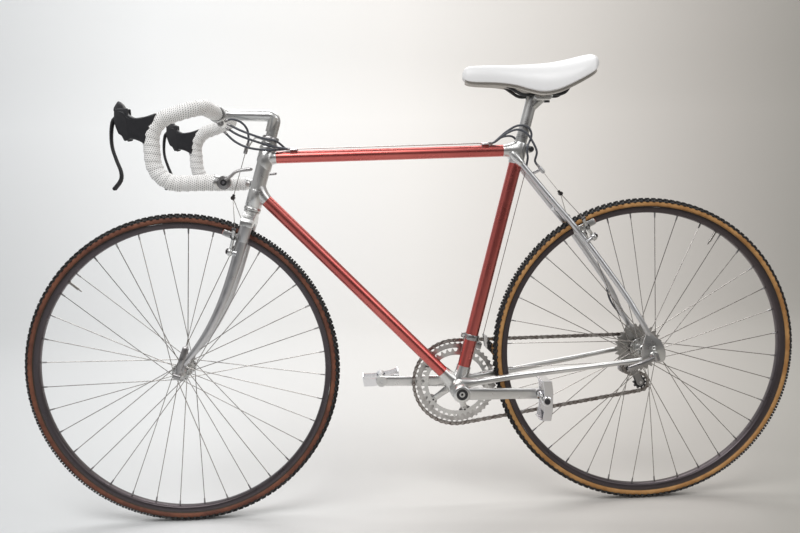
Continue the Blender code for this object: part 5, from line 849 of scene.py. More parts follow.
def even(points, step):
    """Walk a polyline in equal steps."""
    path, left = [points[0]], step
    for a, b in zip(points, points[1:]):
        span, done = (b - a).length, 0.0
        while span - done > left:
            done += left
            path.append(a.lerp(b, done / span))
            left = step
        left -= span - done
    return path + [points[-1]]


def holes(look, across, painted_hole_shade):
    """Rows of small round holes, drawn from the fractions of the wrap's UV map as near-black dots: painted
    shade inside the holes.
    """
    at = add(look, "UVMap", uv_map="wrap").outputs["UV"]
    for operation, *values in (("MULTIPLY", (across, 1, 0)), ("FRACTION",), ("SUBTRACT", (0.5, 0.5, 0)),
                               ("LENGTH",)):
        made = add(look, "VectorMath", {0: at, **{1: value for value in values}}, operation=operation)
        at = made.outputs["Value" if operation == "LENGTH" else 0]
    white = look.node_tree.nodes["Principled BSDF"].inputs["Base Color"].links[0].from_socket
    ends = {"Factor": ranged(look, at, 0.17, 0.26, 1, 0), "A": white, "B": (*painted_hole_shade, 1.0)}
    feed(look, "Base Color", add(look, "Mix", ends, data_type="RGBA").outputs["Result"])


TAPE = finish("white bar tape", (0.84, 0.83, 0.81), 0.5, bump=(700, 3, 0.15, 0.4),
              tint=(22, (0.84, 0.83, 0.81), (0.91, 0.905, 0.89)))
# The holes are real; their near-black colour is painted shade inside them.
holes(TAPE, HOLES_ROUND, (0.1, 0.1, 0.1))


# %% Make the stem and bar
def stem():
    corner, extension = steer(565.4), 12.1
    path = rounded_path([(steer(430), 0), (corner, 12), (BAR, 0)], 12)
    sweep(carried(path, Y, [11 + 0.9 * min(1.0, k / 6) for k in range(len(path))], extension), 36)
    along = (corner - BAR).normalized()
    flare(BAR + along * 6, along, Y, 33, extension, 5)
    flare(corner - along * 4 - STEER_UP * 4, -STEER_UP, Y, 32, 11.2, 3.5)
    turned(mirrored([(13, -19.5), (17.2, -19.5), (18.2, -18.5)]), BAR, Y, 48)
    binder = BAR + vec(6, 0, -19)
    peg(binder, Y, -16, 16, 7.2, 24)
    turned([(2.2, -18.6), (4.8, -18.6), (5.4, -17.6), (5.4, -16), (2.2, -16)], binder, Y, 24, material=1)
    peg(BAR + vec(-2, 0, -17.8), Y, -19.6, 19.6, 1.2, 8, material=1)
    piece("stem_forged", [POLISHED, GREY_ALLOY], "stem", sharp=50)


def bar():
    turned([(11.9, -40), (13, -33), (13, 33), (11.9, 40)], BAR, Y, 36, hollow=False)
    for _, side in SIDES:
        sweep(carried(rounded_path(bar_corners(side, 38), 14), Z, BAR_RADIUS), 24)
    piece("handlebar_bent", SATIN, "handlebar")


stem()
bar()

# %% [markdown]
# ## Tape, hoods and levers
# The tape goes on as one helix with its edges overlapping. Each turn is a little proud of the
# one before, so the radius climbs once round and once per pitch. The same helix gives the UV
# map that the holes are drawn on. The hoods are soft rubber: a plain cage, subdivided.

# %% Make the tape
def wrapped_tape(label, side):
    path = even(rounded_path(bar_corners(side, TAPE_FROM), 16), TAPE_STEP)
    lays = carried(path, Z, TAPE_RADIUS)
    sweep(lays, TAPE_SIDES, capped=False)
    shares = {}
    for index, vert in enumerate(work.verts):
        step = index // TAPE_SIDES
        local = lays[step].inverted() @ vert.co
        angle = atan2(local.y, local.x) / (2 * pi)
        travel = step * TAPE_STEP
        climb = (travel / TAPE_PITCH + angle) % 1.0
        edge = 1.0 - climb / 0.12 if climb < 0.12 else (climb - 0.12) / 0.88
        puff = noise.noise(vert.co * 60) * 0.25
        vert.co = lays[step] @ (local * (1 + TAPE_RIDGE * (edge + puff - 0.4) / TAPE_RADIUS))
        shares[vert] = (angle, travel)
    mapping = work.loops.layers.uv.new("wrap")
    for face in work.faces:
        base = shares[face.loops[0].vert][0]
        for loop in face.loops:
            angle, travel = shares[loop.vert]
            angle += round(base - angle)
            rows = (travel + angle * TAPE_PITCH) / HOLE_SPACING
            loop[mapping].uv = (angle + rows * 0.5 / HOLES_ROUND, rows)
    rims = [edge for edge in work.edges if edge.is_boundary]
    for vert in only(bmesh.ops.extrude_edge_only(work, edges=rims)["geom"], VERT):
        near = min((path[0] * MM, path[-1] * MM), key=lambda end: (vert.co - end).length)
        vert.co = near.lerp(vert.co, 0.8)
    for face in work.faces:
        if any(edge.is_boundary for edge in face.edges):
            for loop in face.loops:
                loop[mapping].uv = (0.0, 0.0)
    turned([(12.5, 0), (15.6, 0), (16.2, 0.8), (16.2, 5), (15, 5.6), (12.5, 5.6)],
           BAR + Y * side * (TAPE_FROM - 1), Y * side, 36, material=1)
    piece(f"bar_tape_{label}_wound", [TAPE, BLACK], f"bar_tape_{label}", sharp=70, weld=False)


# %% Make the hoods, levers and end shifters
HOOD_LINE, BAR_END_LINE = 200.8, 205


def hood(label, side):
    hinge = BAR + Y * side * HOOD_LINE
    plate([(78, -12), (98, -19), (118, -21.5), (131, -15), (140, 4), (148.2, 13), (157.5, -2),
           (157.8, -10.5), (138.5, -11), (137, -60), (125, -60), (112, -65), (100, -74), (88, -42)],
          hinge, -X, Z, 29, 4)
    flank = [(130, -3), (156, -3), (156.6, -29), (153.5, -40), (150, -50), (144, -54), (140, -64),
             (130, -62)]
    for cheek in (-1, 1):
        plate(flank, hinge + Y * cheek * 11.45, -X, Z, 6, 1.8)
    middle = hinge * MM
    for vert in work.verts:
        rise = (vert.co - middle).z / MM
        narrow = 1.0 - 0.42 * max(0.0, min(1.0, (rise + 22) / 34))
        vert.co.y = middle.y + (vert.co.y - middle.y) * narrow
    made = piece(f"brake_hood_{label}_soft", RUBBER, f"brake_hood_{label}", sharp=180)
    rounder = made.modifiers.new("rounder", "SUBSURF")
    rounder.levels = rounder.render_levels = 2


def brake_lever(label, side):
    hinge = BAR + Y * side * HOOD_LINE
    line = ((150, -16), (161, -24), (166, -45), (166.5, -72), (160.5, -96.5), (153, -120),
            (154.5, -136), (166.5, -151))
    path = smooth_path([hinge - X * u + Z * w for u, w in line], 6)
    sweep(carried(path, Y, lambda t: 6.6 * (1 - 0.25 * t ** 3),
                  lambda t: 4.2 - 1.2 * sin(pi * min(1.0, t * 1.1))), 20)
    peg(hinge + vec(-148, 0, -20), Y, -7.8, 7.8, 8.5, 28)
    peg(path[-1], Y, -4, 4, 3.6, 16)
    piece(f"brake_lever_{label}_drawn", BLACK, f"brake_lever_{label}")


def end_shifter(label, side):
    out = Y * side
    centre = BAR + vec(40, side * BAR_END_LINE, -146.5)
    bar_end = BAR + vec(22.5, side * BAR_END_LINE, -145.5)
    turned(mirrored([(2, -10), (11.2, -10), (12.5, -8.8)]), centre, out, 36)
    sweep(carried([bar_end - X * 2, bar_end, bar_end + X * 6, centre - X * 4], Z,
                  [15, 15.2, 13, 8.5], [15, 15.2, 12, 8]), 28)
    plate([(-16, 5), (-16, -4), (-2, -3), (0, 3.5)], centre + out * 9.8, X, Z, 1.2, 0.3, 1, material=1)
    piece(f"shifter_pod_{label}_turned", [POLISHED, BLACK], f"shifter_pod_{label}",
          sharp=45)
    hub_at = centre + out * 10.3
    turned([(6, 0), (11.8, 0), (12, 1), (12, 4), (11.2, 5.2), (6, 6)], hub_at, out, 40)
    turned([(12, 1.2), (12.8, 1.2), (12.8, 2.6), (12, 2.6)], hub_at, out, 40, material=1)
    peg(hub_at, out, 0, 5.2, 6.1, 32, material=1)
    peg(hub_at, out, 4.6, 6.5, 3.2, 20, 2.6, 2)
    line = ((4, 5), (13, 11), (24, 19.5), (38, 22.5), (55, 24))
    path = smooth_path([hub_at + out * 2.8 + X * u + Z * w for u, w in line], 3)
    count = len(path)
    wides = [3.6 - 0.8 * sin(pi * min(1.0, 1.3 * k / count)) for k in range(count - 1)] + [2.2]
    sweep(carried(path, Z, wides, [4.8] * (count - 1) + [3.0]), 16)
    piece(f"shift_lever_{label}_drawn", [GREY_ALLOY, BLACK, CHROME], f"shift_lever_{label}", sharp=45)


for label, side in SIDES:
    for make in (wrapped_tape, hood, brake_lever, end_shifter):
        make(label, side)

# %% [markdown]
# ## Saddle and post
# The saddle's top is one smooth cover over a moulded base. We give its width, crown height and
# rim height at a dozen places from nose to tail and carry one arch through them. Two steel
# rails run below, and the post's clamp holds their level stretch.

# %% Make the cover, base, rails and post
RAIL_MIDDLE = vec(287.15, 0, 907.82)
SADDLE_ZERO = RAIL_MIDDLE - Z * 1.5
SADDLE_START, SADDLE_LENGTH, SADDLE_HALF, SADDLE_STEP = SADDLE_ZERO.x - 168, 281, 70.5, 0.022
SADDLE_ROWS = ((0.0, 0.17, 56, 40), (0.025, 0.24, 65, 34), (0.09, 0.28, 68, 30.5),
               (0.25, 0.34, 68, 27.5), (0.38, 0.44, 67.5, 21), (0.49, 0.57, 68, 10),
               (0.59, 0.72, 69, 3), (0.69, 0.87, 71.5, 6), (0.79, 0.965, 76, 17),
               (0.89, 1.0, 82, 31), (0.96, 0.94, 85, 43), (1.0, 0.72, 82.5, 56))
RAIL_ROWS = ((-128, 6.5, 46, 0), (-90, 12, 30, 30), (-45, 21.5, 0, 30), (48, 21.5, 0, 22),
             (78, 33.5, 57.5, 0))


def saddle_rings(inset, crown_drop, rim_drop, first=0.0, last=1.0):
    rings = []
    rows = [Vector((share, half, crown * MM, rim_at * MM)) for share, half, crown, rim_at in SADDLE_ROWS]
    for share, half, crown, rim_at in smooth_path(rows, SADDLE_STEP):
        if first <= share <= last:
            centre = vec(SADDLE_START + SADDLE_LENGTH * share, 0, SADDLE_ZERO.z + rim_at / MM + rim_drop)
            rings.append(station(centre, Y, Z, SADDLE_HALF * half - inset,
                                 max(2.0, (crown - rim_at) / MM - crown_drop - rim_drop)))
    return rings


def saddle():
    arch = [(sin(radians(a)), cos(radians(a)) ** 0.8) for a in range(-88, 89, 8)]
    hollow_back = [(0.955, 0.02), (0.6, 0.08), (0, 0.1), (-0.6, 0.08), (-0.955, 0.02)]
    rings = saddle_rings(0, 0, 0)
    nose, tail = (
        Matrix.Translation(shift * MM) @ ring @ Matrix.Diagonal((wide, 0.8, 1, 1)) for shift, ring, wide in
        (((Z - X) * 1.2, rings[0], 0.7), ((Z + X) * 1.5, rings[-1], 0.85)))
    sweep([nose, *rings, tail], outline=[(-1, 0.05), *arch, (1, 0.05), *hollow_back])
    cover = piece("saddle_cover_smooth", COVER, "saddle_cover", sharp=75)
    sweep(saddle_rings(5.5, 4.5, -5.5, 0.01, 0.985),
          outline=[(-1, 0), (-0.7, 0.42), (0, 0.55), (0.7, 0.42), (1, 0), (0, 0.06)])
    for _, side in SIDES:
        line = [(RAIL_MIDDLE + vec(x, side * y, z), radius) for x, y, z, radius in RAIL_ROWS]
        sweep(carried(rounded_path(line, 8), Y, 3.5), 14, material=1)
    piece("saddle_base_moulded", [UNDERSIDE, BLACK], "saddle_base")


def seat_post():
    rod(seat(439), seat(654), 12.6, 40)
    for along in (567, 570):
        turned([(12.55, -0.3), (12.7, -0.3), (12.7, 0.3), (12.55, 0.3)], seat(along), SEAT_UP, 40, material=1)
    rod(seat(634), RAIL_MIDDLE - Z * 4, 12.4, 32, 11.6)
    for outline in ([(-20, -6.2), (-14, -11.5), (14, -11.5), (20, -6.2), (20, -0.8), (-20, -0.8)],
                    [(-20, 0.8), (20, 0.8), (20.5, 5.5), (12, 9.2), (-12, 9.2), (-20.5, 5)]):
        plate(outline, RAIL_MIDDLE, X, Z, 53, 1.4)
    peg(RAIL_MIDDLE, Z, -15, 12.5, 4.2, 20, material=1)
    peg(RAIL_MIDDLE + X * 13, Z, -15, -10.5, 6.2, 6, material=1)
    piece("seatpost_turned", [POLISHED, BLACK], "seatpost")


saddle()
seat_post()

# %% [markdown]
# ## Cables
# Housings leave the bars in one bundle. Each is a smooth curve through a few points that we can
# name from the head tube or the seat cluster. Between the stops the bare wire runs straight, a
# third as thick. A ferrule caps each housing end.

# %% Cable helpers
HOUSING_RADIUS, WIRE_RADIUS = 2.4, 0.8
CABLE_LOOKS = [HOUSING, GREY_ALLOY, SPOKE_STEEL]
CARRIER_FRONT = steer(372, 46)


def by_head(x, y, z):
    return vec(TOP_FRONT.x + x, y, TOP_FRONT.z + z)


def by_seat(x, y, z):
    return vec(TOP_REAR.x + x, y, TOP_REAR.z + z)


def housing(points):
    path = smooth_path(points, 5)
    sweep(carried(path, Y, HOUSING_RADIUS), 12)
    for end, inner in ((path[0], path[1]), (path[-1], path[-2])):
        peg(end, (inner - end).normalized(), 0, 8, 3, 14, material=1)


def wire(*points):
    sweep(carried(points, Y, WIRE_RADIUS), 8, material=2)


RUNS = {"brake_cable_rear": (-7, [(-75.8, -26.5, 63.7), (-50.8, -30, 47.7), (-10.8, -30, 31.7),
                                  (21.2, -20, 21.7)]),
        "shift_cable_front": (0, [(-80.8, -25, 55.7), (-58.8, -33, 34.7), (-30.8, -37.5, 20.7),
                                  (4.2, -28.5, 15.2), (31.2, -6, 16.2)]),
        "shift_cable_rear": (7, [(-72.8, -33, 71.7), (-42.8, -37, 55.7), (-2.8, -34, 40.2),
                                 (23.2, -19, 34.7), (33.2, -5, 27.7), (40.2, 4, 20.7)])}
TAILS = {"brake_cable_rear": [(-31.2, -19, 34.7), (-8.2, -24, 42.7), (12.8, -22.5, 34.7),
                              (26.3, -19.5, 16.7), (36.3, -15, -5.3)],
         "shift_cable_front": [(-28.2, -10.5, 39.7), (-4.2, -17.2, 51.7), (17.8, -16.5, 47.7),
                               (25.8, -13, 32.7), (22.8, -14, 20.7), (15.8, -19, 8.7),
                               (13.8, -20, -4.3), (16.8, -13, -16.3), (16.3, -4, -30.3)],
         "shift_cable_rear": [(-31.2, 17, 30.7), (-6.2, 25, 29.7), (9.8, 31, 3.7),
                              (15.8, 33, -26.3), (24.3, 32.9, -60.3)]}


# %% Make the cables
def front_brake_cable():
    housing([by_head(-78.8, -29, 76.7), by_head(-64.8, -27, 81.2), by_head(-46.8, -19, 75.7),
             by_head(-35.3, -9, 60.7), steer(500, 44.3), steer(488.3, 44.5)])
    wire(steer(489, 44.5), steer(470, 44.5), CARRIER_FRONT)
    piece("front_brake_run", CABLE_LOOKS, "brake_cable_front")


def long_cable(node):
    lane, front = RUNS[node]
    front_mouth = vec(STOP_STARTS[0] - 0.6, lane, LANE_HEIGHT)
    rear_mouth = vec(STOP_STARTS[1] + 16.6, lane, LANE_HEIGHT)
    tail = [rear_mouth, vec(STOP_STARTS[1] + 28, lane, LANE_HEIGHT + 1.2)]
    tail += [by_seat(*at) for at in TAILS[node]]
    housing([by_head(*at) for at in front] + [front_mouth + vec(-7.4, 0, 0.6), front_mouth])
    wire(front_mouth, rear_mouth)
    if node == "brake_cable_rear":
        aim = (CARRIER_REAR - HANGER).normalized()
        housing([*tail, HANGER - aim * 23 - Y * 3, HANGER - aim * 6.3])
        wire(HANGER - aim * 6.3, CARRIER_REAR)
    elif node == "shift_cable_front":
        housing([*tail, seat(494.7, 25.8)])
        wire(seat(496, 25.8), seat(126.5, 24.8))
    else:
        bend, lower = (stay_point(*spot, 1.0) + vec(-1, 10.7, 0) for spot in (STAY_BEND, STAY_LOWER))
        housing(tail)
        wire(tail[-1], bend, lower)
        below = (lower - vec(-1, 10.7, 0)).lerp(stay_foot(1.0), 0.5) + vec(-10, 12, 0)
        housing([lower, below, *(REAR + vec(*at) for at in (
            (6, 84, 33), (30, 90, 8), (24, 86, -30), (8, 80, -44)))])
    made = piece(f"{node}_run", CABLE_LOOKS, node, ride=False)
    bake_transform(made)


front_brake_cable()
for node in RUNS:
    long_cable(node)

# %% [markdown]
# ## Chain and rings
# The chain is a closed line of tangents and arcs round the ring, a cog and two pulleys. We walk
# it in equal steps of half an inch to place the pins. Outer and inner links alternate, and each
# plate is waisted between its pins. Sprockets use the same half-inch pitch, so a ring's radius
# follows from its number of teeth.

# %% Chain line
CHAIN_PITCH, RING_LINE, COG_LINE = 12.7, 46, 53.5


def pitch_radius(teeth):
    return CHAIN_PITCH / (2 * sin(pi / teeth))


def toothed(teeth, tip, root):
    """Four points to a tooth: two at the root and two at a narrow tip."""
    return [(radius * cos(2 * pi * (k + share) / teeth), radius * sin(2 * pi * (k + share) / teeth))
            for k in range(teeth) for radius, share in ((root, -0.34), (tip, -0.1), (tip, 0.1), (root, 0.34))]


GUIDE, TENSION = joint_at("guide_pulley_spin")[0], joint_at("tension_pulley_spin")[0]
GUIDE.y = TENSION.y = 0.0
ROUNDS = [(BOTTOM, pitch_radius(48), RING_LINE, 1.0), (REAR, pitch_radius(13), COG_LINE, 1.0),
          (GUIDE, pitch_radius(10), COG_LINE, -1.0), (TENSION, pitch_radius(10), COG_LINE, 1.0)]


def chain_line():
    legs = []
    for (a, ra, ya, sa), (b, rb, yb, sb) in zip(ROUNDS, ROUNDS[1:] + ROUNDS[:1]):
        gap = b - a
        heading = atan2(gap.z, gap.x) - asin((sa * ra - sb * rb) / hypot(gap.x, gap.z))
        left = radial(heading + pi / 2)
        legs.append((a + left * sa * ra + Y * ya, b + left * sb * rb + Y * yb))
    line = []
    for i, (centre, radius, height, sense) in enumerate(ROUNDS):
        arrive, leave = legs[i - 1][1] - centre, legs[i][0] - centre
        begin, end = atan2(arrive.z, arrive.x), atan2(leave.z, leave.x)
        swing = (begin - end) % (2 * pi) if sense > 0 else -((end - begin) % (2 * pi))
        count = max(4, ceil(abs(swing) * radius / 2))
        line += [centre + radial(begin - swing * k / count) * radius + Y * height for k in range(count)]
        line += [legs[i][0]]
    return line + [line[0]]


# %% Make the chain
def chain():
    line = chain_line()
    total = sum((b - a).length for a, b in zip(line, line[1:]))
    links = 2 * round(total / CHAIN_PITCH / 2)
    pins = even(line, total / links)[:links]
    waist, round_end = 2.9, arc(4.2, range(-120, 121, 40))
    for k, (a, b) in enumerate(zip(pins, pins[1:] + pins[:1])):
        along = (b - a).normalized()
        across = along.cross(Y).normalized()
        half = (b - a).length / 2
        outline = [(half + x, y) for x, y in round_end] + [(0, waist)]
        outline += [(-a, -b) for a, b in outline]
        for side in (-1, 1):
            reach = 3.1 if k % 2 else 2.1
            plate(outline, (a + b) / 2 + along.cross(across) * side * reach, along, across, 0.9)
        peg(a, Y, -3.9, 3.9, 1.7, 8, material=1)
        peg(a, Y, -1.6, 1.6, 3.8, 10)
    piece("chain_links", [CHAIN_STEEL, SPOKE_STEEL], "chain", weld=False)


# %% Make the rings, spider and cranks
CRANK_TILT, ARM_LINE, CRANK_LENGTH, BOLT_CIRCLE = radians(2.1), 61.2, 170, 65
CRANK_WAY = vec(cos(CRANK_TILT), 0, -sin(CRANK_TILT))
CRANK_ROWS = ((4, 13.5, 0.44), (20, 13.3, 0.46), (50, 12.8, 0.48), (90, 12, 0.5), (127.5, 11.5, 0.52),
              (160, 11.7, 0.52), (170, 11.9, 0.5), (178, 9.8, 0.48), (181.5, 5.2, 0.42))
ARM_CORNERS = [tuple(abs(s) ** 0.55 * (1 if s > 0 else -1) for s in (cos(t), sin(t)))
               for t in (2 * pi * (k + 0.5) / 28 for k in range(28))]


def annulus(outer, inner, centre, thickness, material=0):
    """A flat ring between two outlines, centred in Y and given thickness."""
    loops = []
    for outline in (outer, inner):
        verts = [work.verts.new((centre + vec(a, -thickness / 2, b)) * MM) for a, b in outline]
        loops += [work.edges.new(pair) for pair in zip(verts, verts[1:] + verts[:1])]
    faces = bmesh.ops.bridge_loops(work, edges=loops)["faces"]
    tips = only(bmesh.ops.extrude_face_region(work, geom=faces)["geom"], VERT)
    bmesh.ops.translate(work, vec=Y * thickness * MM, verts=tips)
    paint({face for vert in tips for face in vert.link_faces}, material)


def circle(radius, count):
    return arc(radius, [360 * (k - 1.5) / count for k in range(count)])


def spider_angle(arm):
    return pi - CRANK_TILT + 2 * pi * (arm + 0.5) / 5


def window(a, b):
    """The outer ring's inside edge: a wide rim, dipping to a tab at each spider arm."""
    angle = atan2(b, a)
    off = abs(((angle - spider_angle(0) + radians(36)) % radians(72)) - radians(36))
    steps = ((0, 58), (6, 58), (11, 64), (16, 79.5), (36, 80))
    for (low, r_low), (high, r_high) in zip(steps, steps[1:]):
        if off <= radians(high) + 1e-6:
            radius = r_low + (r_high - r_low) * (off - radians(low)) / radians(high - low)
            return radius * cos(angle), radius * sin(angle)


def rings():
    outer = toothed(48, 92.3, 89.3)
    annulus(outer, [window(a, b) for a, b in outer], BOTTOM + Y * RING_LINE, 2.4)
    bevelled([edge for edge in work.edges if edge.calc_face_angle(0.0) > 1.0], 0.3, 1)
    piece("chainring_outer_cut", COG_STEEL, "chainring_outer", sharp=30)


def spider():
    """The inner ring, and five arms with their bolts."""
    annulus(toothed(38, 79.4, 73.1), circle(64.9, 152), BOTTOM + Y * 39.1, 2.4, 2)
    outline = mirrored([(10, -10.5), (25, -8.2), (45, -6.8), (65, -6.6), (70.5, -4.5)], (72, 0))
    for angle in map(spider_angle, range(5)):
        plate(outline, BOTTOM + Y * 42.15, radial(angle), radial(angle + pi / 2), 4.6, 1, material=3)
        bolt = BOTTOM + radial(angle) * BOLT_CIRCLE
        peg(bolt, Y, 36.8, 48, 4.6, 16)
        peg(bolt, Y, 36.2, 37.2, 2.4, 6, material=1)
        peg(bolt, Y, 47.6, 48.6, 2.4, 6, material=1)


def crank(label, side):
    along, out = CRANK_WAY * -side, Y * side
    rise = upright(along)
    sweep([station(BOTTOM + out * ARM_LINE + along * at, rise, Y, high, high * share)
           for at, high, share in CRANK_ROWS], outline=ARM_CORNERS)
    end = BOTTOM + out * ARM_LINE + along * CRANK_LENGTH
    turned(mirrored([(4.5, -7.5), (11.8, -7.5), (12.5, -6.6)]), end, out, 36)
    peg(end, out, 7, 10.7, 7.2, 24)
    peg(end, out, 10, 65, 4.2, 16)
    boss = ([(6, 37), (16.8, 37.6), (17.8, 40), (19.5, 46)] if side < 0 else
            [(6, 37.3), (17.6, 37.3), (19.5, 44.5)])
    turned(boss + [(19.5, 64), (18.6, 66.8), (16, 68.6), (12.4, 68.8), (12.4, 67.5), (6, 67.5)],
           BOTTOM, out, 48)
    turned([(6.2, 67), (12.2, 67), (12.2, 68.8), (10.8, 69.4), (6.2, 68.8)], BOTTOM, out, 40, material=1)
    turned([(3, 64), (6, 64), (6, 68.6), (5, 69), (3, 68.6)], BOTTOM, out, 24)
    peg(BOTTOM, out, 64, 65.5, 3.2, 12, material=1)
    if side > 0:
        spider()
    piece(f"crank_{label}_forged", [POLISHED, BLACK, COG_STEEL, GREY_ALLOY], f"crank_{label}", sharp=40)


# %% Make the pedals
def pedal(label, side, lean):
    fore, rise, out = radial(lean), radial(lean + pi / 2), Y * side
    axle = joint_at(f"pedal_{label}_spin")[0]
    start = vec(axle.x, side * 73.7, axle.z)
    turned([(4.6, 0), (10, 0), (10.5, 1), (10.5, 8), (8.2, 12), (8.2, 43), (10, 47), (10.5, 56),
            (9, 57), (4.6, 57)], start, out, 28)
    end_shape = [(-42, -9.5), (-21, -12.5), (21, -12.5), (42, -9.5), (42, 9.5), (21, 6), (-21, 6),
                 (-42, 9.5)]
    for at in (2.1, 53.1):
        plate(end_shape, start + out * at, fore, rise, 2.2, 0.6, 1)
    teeth = [(2, -8.5), (53, -8.5)]
    for k in range(5, 0, -1):
        middle = 2 + 51 * (k - 0.5) / 5
        teeth += [(middle + at, height) for at, height in ((4.2, 8.6), (1.8, 13), (-1.8, 13), (-4.2, 8.6))]
    for at in (-41, 41):
        plate(teeth, start + fore * at, out, rise, 2.2, 0.4, 1)
    peg(start, out, 56, 60, 6.8, 24, 5.8, 1)
    piece(f"pedal_{label}_caged", [CHROME, BLACK], f"pedal_{label}", sharp=30)


chain()
rings()
for label, side in SIDES:
    crank(label, side)
pedal("left", -1, radians(88))
pedal("right", 1, radians(8))

# %% [markdown]
# ## Sprockets and changers
# Five sprockets stand on one core, largest nearest the spokes. The front changer is a curved
# cage over the ring. The rear one hangs from the dropout: a body, and a cage that carries two
# pulleys and takes up the slack.

# %% Make the sprockets and both changers
def sprockets():
    turned([(15, 26.7), (19.5, 26.7), (19.5, 52.5), (16.5, 57), (13.5, 57), (12, 50), (12, 26.7)],
           REAR, Y, 36, material=1)
    for k, teeth in enumerate((13, 15, 18, 22, 26)):
        pitch = pitch_radius(teeth)
        tip, root = (pitch - 2.2, pitch - 4.8) if k == 0 else (pitch + 2.2, pitch - 4.2)
        annulus(toothed(teeth, tip, root), circle(18.5, 4 * teeth), REAR + Y * (COG_LINE - 6.2 * k), 2.1)
    piece("sprocket_stack", [COG_STEEL, GREY_ALLOY], "cassette", sharp=30)


def front_changer():
    clamp = seat(116.5)
    turned(mirrored([(14.6, -6), (16.8, -6), (17.4, -5)]), clamp, SEAT_UP, 40)
    plate([(13, -24), (29, -24), (29, -10), (17.5, -10), (17.5, 4), (13, 4)], clamp + Y * 17.5,
          SEAT_BACK, SEAT_UP, 23, 1.5)
    for side in (-1, 1):
        plate(mirrored([(-23, -5), (-14, -5)]), clamp + Y * side * 2.4, SEAT_BACK, SEAT_UP, 2.6, 0.8, 1)
    peg(seat(116.5, -19), Y, -6.2, 6.2, 3, 16, material=1)
    piece("changer_clamp", [GREY_ALLOY, CHROME], "front_derailleur_clamp")
    degrees = range(22, 51, 4)
    outline = arc(121.8, degrees) + [(72, 106), (64, 108.5)] + arc(104.3, reversed(degrees))
    for line in (39.2, 52.8):
        plate(outline, BOTTOM + Y * line, X, Z, 1.2, 0.3, 1)
    for x, z, radius in ((70, 104, 2.6), (104, 45, 2.2)):
        peg(BOTTOM + vec(x, 46, z), Y, -7, 7, radius, 12)
    piece("changer_cage", CHROME, "front_derailleur_cage")


def rear_changer():
    plate([(9.5, -37.8), (-3.5, -37.8), (-16, -33), (-33, -42), (-35, -60), (-23, -68), (-7, -60),
           (4, -50)], REAR + Y * 68.55, X, Z, 12.5, 2.6, 3)
    turned([(4, 61.3), (9, 61.3), (9.8, 62.2), (9.8, 76.4), (9, 77.3), (4, 77.3)], GUIDE, Y, 32)
    for x, z in ((-2, -44), (-27, -50), (-19, -60)):
        peg(REAR + vec(x, 0, z), Y, 74, 76.2, 3.6, 16, material=1)
    piece("rear_changer_body", [GREY_ALLOY, CHROME], "rear_derailleur_body")
    down, reach = (TENSION - GUIDE).normalized(), (TENSION - GUIDE).length
    outline = [(-8.5, -5), (0, -9.8), (reach / 2, -6.6), (reach, -8.5), (reach + 7.2, -4),
               (reach + 7.5, 4), (reach, 8.5), (reach / 2, 6.6), (0, 9.8), (-8.5, 5)]
    for line in (46.75, 60.25):
        plate(outline, GUIDE + Y * line, down, vec(down.z, 0, -down.x), 1.5, 0.4, 1)
    peg(TENSION, Y, 45.2, 62.2, 3, 16, material=1)
    peg(GUIDE, Y, 45.2, 60.5, 3, 16, material=1)
    piece("tension_cage", [GREY_ALLOY, CHROME], "rear_derailleur_cage")
    for name, centre in (("guide_pulley", GUIDE), ("tension_pulley", TENSION)):
        annulus(toothed(10, 15.8, 12.8), circle(7.5, 40), centre + Y * COG_LINE, 5.2)
        turned([(3.4, 50.2), (7.8, 50.2), (7.8, 56.8), (3.4, 56.8)], centre, Y, 28, material=1)
        piece(f"{name}_moulded", [BLACK, CHROME], name)


sprockets()
front_changer()
rear_changer()

# %% [markdown]
# ## Brakes and skewers
# Each brake is a pair of cranked arms on the bosses, pulled together by a straddle wire. The
# pads have to meet the rim, so their height up the arm is worked out from the rim's radius.

# %% Make the brake arms and straddles
ARM_MIDDLE, PAD_TRACK, HOOK_ACROSS = 17.85, 313.55, 23.5


def hook_at(place, label, side, rise):
    at, up, out = mount_of(f"{place}_arm_{label}")
    return at + Y * side * HOOK_ACROSS + up * rise + out * ARM_MIDDLE


def brake_arm(place, label, side, axle):
    at, up, out = mount_of(f"{place}_arm_{label}")
    turned([(4.6, 13.6), (7.8, 13.6), (8.5, 14.3), (8.5, 21.4), (7.8, 22.1), (4.6, 22.1)], at, out, 28)
    peg(at, out, 22.2, 26.2, 6.6, 6, 6, 1)
    peg(at, out, 26.2, 27.4, 3.4, 16, material=1)
    point, across = at + out * ARM_MIDDLE, Y * side
    plate([(4, 4.5), (-6, 5.5), (-3.5, 18), (-1, 29), (6, 41), (18, 52), (24.5, 54), (27.5, 47), (23, 43),
           (16, 35), (10.5, 27), (8.5, 12)], point, across, up, 5.5, 1.6)
    gap = vec(point.x - axle.x, 0, point.z - axle.z)
    ahead = gap.dot(up)
    rise = sqrt(ahead ** 2 - gap.length ** 2 + PAD_TRACK ** 2) - ahead
    middle = vec(point.x, 0, point.z) + up * rise
    outward = (middle - axle).normalized()
    along = vec(outward.z, 0, -outward.x) * (1 if place == "rear" else -1)
    plate(mirrored([(-24, -5.8), (28.5, -5.8)], (30, 0)), middle + across * 15, along, outward, 4.5,
          0.8, 1, material=2)
    plate(mirrored([(-25, -7), (27.2, -7)]), middle + across * 19, along, outward, 4.6, 1.2)
    peg(middle, across, 19.5, 54.5, 3, 16)
    peg(middle, across, 28, 38, 6.6, 20)
    peg(middle + across * 33, out, 3, 8.5, 4, 6, material=1)
    peg(middle, across, 48, 53, 5, 6, material=1)
    peg(hook_at(place, label, side, 50), out, -3.4, 5.2, 3.6, 14, material=1)
    piece(f"brake_arm_{place}_{label}_forged", [POLISHED, DARK_BOLT, PAD_ORANGE],
          f"brake_arm_{place}_{label}", sharp=45)


